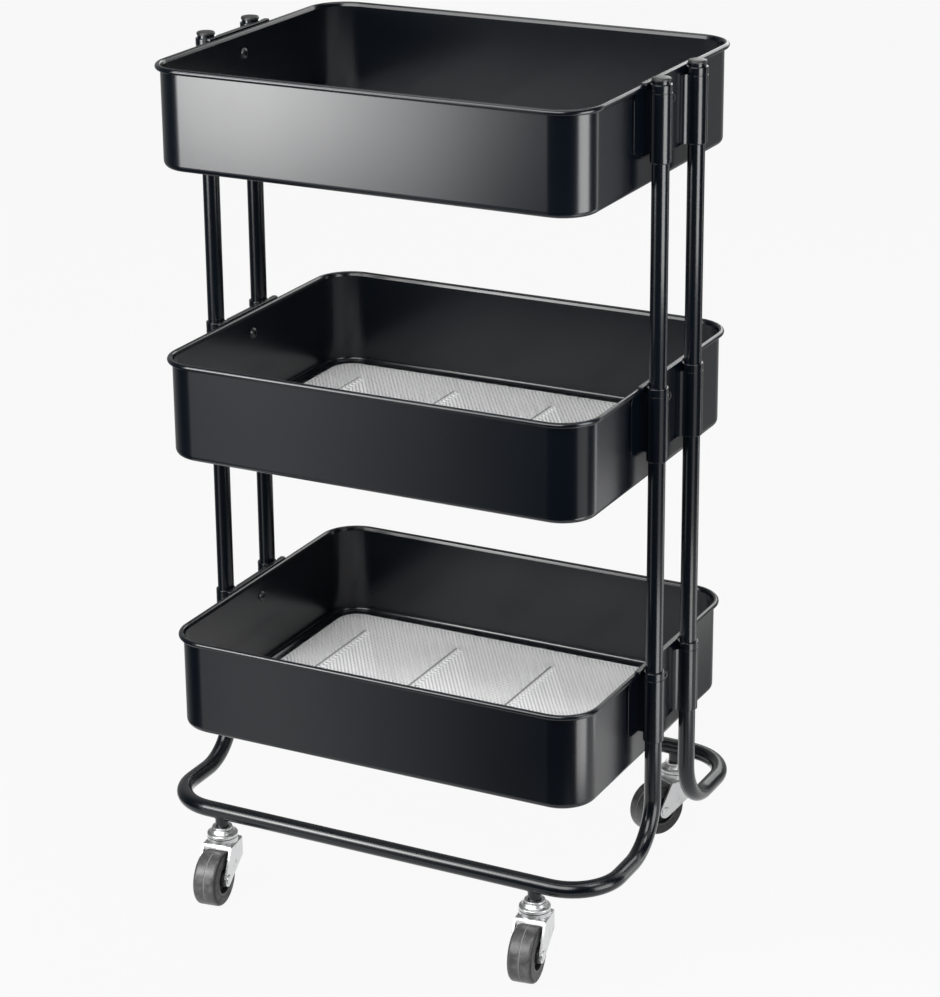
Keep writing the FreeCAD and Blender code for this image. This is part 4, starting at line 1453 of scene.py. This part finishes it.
class CART_OT_casters(bpy.types.Operator):
    """Build the casters' cups, forks, balls and axles"""

    bl_idname = "cart.casters"
    bl_label = "Casters"
    bl_options = {"REGISTER", "UNDO"}

    def execute(self, context):
        sizes = context.scene.cart_caster
        for place in PLACES:
            spot = joint("swivel_" + place)[0].xy.to_3d()
            body = "fork_" + place
            node = "caster_top_cup_" + place
            cup = lathed_mesh(self.cup(sizes, *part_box(node)), Matrix.Translation(spot))
            add_piece("bell_cup_" + place, cup, ZINC, CART, node)
            node = "caster_fork_" + place
            add_piece("pressed_fork_" + place, mesh_of(copied(node)), ZINC, body, node, edge=sizes.fork_edge)
            node = "caster_axle_" + place
            axle = lathed_mesh(self.axle(sizes), facing(*joint("roll_" + place)), steps=48)
            add_piece("riveted_axle_" + place, axle, ZINC, body, node)
            node = "caster_balls_" + place
            balls = self.balls(sizes).baked()
            balls.transform(Matrix.Translation(spot + UP * middle_of(node).z))
            add_piece("ball_ring_" + place, balls, ZINC, body, node, crease=180.0, even=False)
        return {"FINISHED"}

    def cup(self, sizes, low, high):
        """Section of the bell: flat underside, short skirt, hollow flare and a narrow collar."""
        pin = sizes.pin_diameter / 2 + sizes.bore_clearance
        stem = sizes.stem_diameter / 2 + sizes.bore_clearance
        skirt = (high.x - low.x) / 2
        bottom = low.z
        top = high.z
        roof = top - sizes.cup_roof
        shoulder = bottom + sizes.cup_skirt
        collar = sizes.cup_collar_radius
        step = top - sizes.cup_collar_height
        flare = collar * 1.24
        flare_share = 0.3
        flare_z = shoulder + (step - shoulder) * flare_share
        throat = collar * 1.06
        soft = sizes.fork_edge
        shoulder_radius = soft * 2.5
        flare_radius = soft * 5
        lip = soft * 1.6
        rim_radius = soft * 1.5
        corners = [
            ((pin, bottom), 0),
            ((skirt, bottom), soft),
            ((skirt, shoulder), shoulder_radius),
            ((flare, flare_z), flare_radius),
            ((throat, step - soft), soft),
            ((collar - soft, step), soft / 2),
            ((collar - soft, step + soft), soft / 3),
            ((collar, step + lip), soft / 2),
            ((collar, top), rim_radius),
            ((stem, top), 0),
            ((stem, roof), 0),
            ((pin, roof), 0),
        ]
        return rounded(corners, steps=5)

    def axle(self, sizes):
        """Section of the axle along its length, with a rounded head at each end."""
        pin = sizes.axle_diameter / 2
        head = sizes.axle_head_diameter / 2
        leg = sizes.fork_half_width
        end = leg + sizes.axle_head_height
        soft = sizes.fork_edge
        edge = soft * 1.5
        crown = soft * 3
        corners = [((pin, leg), 0), ((head, leg), 0), ((head, end - soft), edge), ((pin / 2, end), crown)]
        corners.append(((0, end), 0))
        far = rounded(corners, closed=False, steps=5)
        near = [Vector((point.x, -point.y)) for point in reversed(far)]
        return near + far

    def balls(self, sizes):
        """Ring of loose balls round the origin."""
        inputs = {"Circle radius": sizes.ball_circle / 2, "Ball radius": sizes.ball_diameter / 2}
        recipe = GeometryRecipe("ball_ring", inputs, ZINC)
        nodes = recipe.nodes
        ring = {"Vertices": BALL_COUNT, "Radius": recipe.size("Circle radius")}
        ring = nodes.add("GeometryNodeMeshCircle", None, ring)
        ball = {"Segments": BALL_SEGMENTS, "Rings": BALL_ROWS, "Radius": recipe.size("Ball radius")}
        ball = nodes.add("GeometryNodeMeshUVSphere", None, ball)
        placed = {"Points": ring, "Instance": ball}
        recipe.ended(nodes.add("GeometryNodeInstanceOnPoints", None, placed))
        return recipe


class CART_OT_wheels(bpy.types.Operator):
    """Turn the four hubs and their hard tyres"""

    bl_idname = "cart.wheels"
    bl_label = "Wheels"
    bl_options = {"REGISTER", "UNDO"}

    def execute(self, context):
        sizes = context.scene.cart_caster
        kinds = (("hub", self.hub(sizes), HUB_PLASTIC), ("tyre", self.tyre(sizes), TYRE))
        for place in PLACES:
            upright = facing(*joint("roll_" + place))
            for kind, profile, slot in kinds:
                mesh = lathed_mesh(profile, upright, steps=96)
                if kind == "tyre":
                    self.mark_tread(mesh, upright.inverted(), sizes)
                ending = kind + "_" + place
                add_piece("wheel_" + ending, mesh, slot, "wheel_" + place, "caster_" + ending)
        return {"FINISHED"}

    def hub(self, sizes):
        bore = sizes.axle_diameter / 2 + sizes.bore_clearance
        boss = bore + sizes.hub_boss_wall
        outer = sizes.wheel_diameter / 2 - sizes.tyre_thickness
        inner = outer - sizes.hub_rim
        half_rim = sizes.wheel_width / 2
        soft = sizes.fork_edge
        half = [
            ((bore, 0), 0),
            ((bore, sizes.hub_half_boss), soft / 2),
            ((boss, sizes.hub_half_boss), soft * 2),
            ((boss, sizes.hub_half_web), soft * 2),
            ((inner, sizes.hub_half_web), soft * 2),
            ((inner, half_rim), soft),
            ((outer, half_rim), soft),
            ((outer, 0), 0),
        ]
        return self.both_halves(rounded(half, closed=False, steps=4))

    def tyre(self, sizes):
        radius = sizes.wheel_diameter / 2
        groove = radius - sizes.tyre_groove_depth
        seat = radius - sizes.tyre_thickness
        half_width = sizes.wheel_width / 2
        half_groove = sizes.tyre_groove_width / 2
        soft = sizes.fork_edge
        half = [
            ((seat, 0), 0),
            ((seat, half_width), soft),
            ((radius, half_width), sizes.tyre_edge_radius),
            ((radius, half_groove), soft / 2),
            ((groove, soft / 4), soft / 8),
            ((groove, 0), 0),
        ]
        return self.both_halves(rounded(half, closed=False, steps=6))

    def both_halves(self, half):
        """Closed section from one half, from its inner point on the middle to its outer one."""
        return half + [Vector((point.x, -point.y)) for point in reversed(half[1:-1])]

    def mark_tread(self, mesh, to_wheel, sizes):
        """UV map: across the tread, and outwards from the axle."""
        chart = mesh.uv_layers.new(name="tread")
        for loop in mesh.loops:
            place = to_wheel @ mesh.vertices[loop.vertex_index].co
            across = place.z / sizes.wheel_width + 0.5
            chart.data[loop.index].uv = (across, place.xy.length / sizes.wheel_diameter * 2)


class CART_PT_panel(bpy.types.Panel):
    """Lists the cart's pieces and sizes"""

    bl_idname = "CART_PT_panel"
    bl_label = "Rolling basket cart"
    bl_space_type = "VIEW_3D"
    bl_region_type = "UI"
    bl_category = "Cart"

    def draw(self, context):
        for operator in OPERATORS:
            self.layout.operator(operator.bl_idname)
        for group in SETTINGS:
            settings = getattr(context.scene, group)
            box = self.layout.box()
            for name in settings.__annotations__:
                box.prop(settings, name)


SETTINGS = {
    "cart_basket": BasketSizes,
    "cart_mesh_floor": MeshFloorSizes,
    "cart_bracket": BracketSizes,
    "cart_fastener": FastenerSizes,
    "cart_tube": TubeSizes,
    "cart_caster": CasterSizes,
    "cart_colours": FinishColours,
    "cart_stage": StageSettings,
}
OPERATORS = (
    CART_OT_stage,
    CART_OT_frame_finishes,
    CART_OT_baskets,
    CART_OT_mesh_floors,
    CART_OT_brackets,
    CART_OT_fasteners,
    CART_OT_posts,
    CART_OT_base_tubes,
    CART_OT_casters,
    CART_OT_wheels,
)


def register():
    for name, group in SETTINGS.items():
        bpy.utils.register_class(group)
        setattr(bpy.types.Scene, name, PointerProperty(type=group))
    for shown in (*OPERATORS, CART_PT_panel):
        bpy.utils.register_class(shown)


def unregister():
    for shown in (CART_PT_panel, *reversed(OPERATORS)):
        bpy.utils.unregister_class(shown)
    for name, group in reversed(SETTINGS.items()):
        delattr(bpy.types.Scene, name)
        bpy.utils.unregister_class(group)


def main():
    register()
    bpy.ops.cart.stage()
    bpy.ops.cart.frame_finishes()
    bpy.ops.cart.baskets()
    bpy.ops.cart.mesh_floors()
    bpy.ops.cart.brackets()
    bpy.ops.cart.fasteners()
    bpy.ops.cart.posts()
    bpy.ops.cart.base_tubes()
    bpy.ops.cart.casters()
    bpy.ops.cart.wheels()


if __name__ == "__main__":
    main()
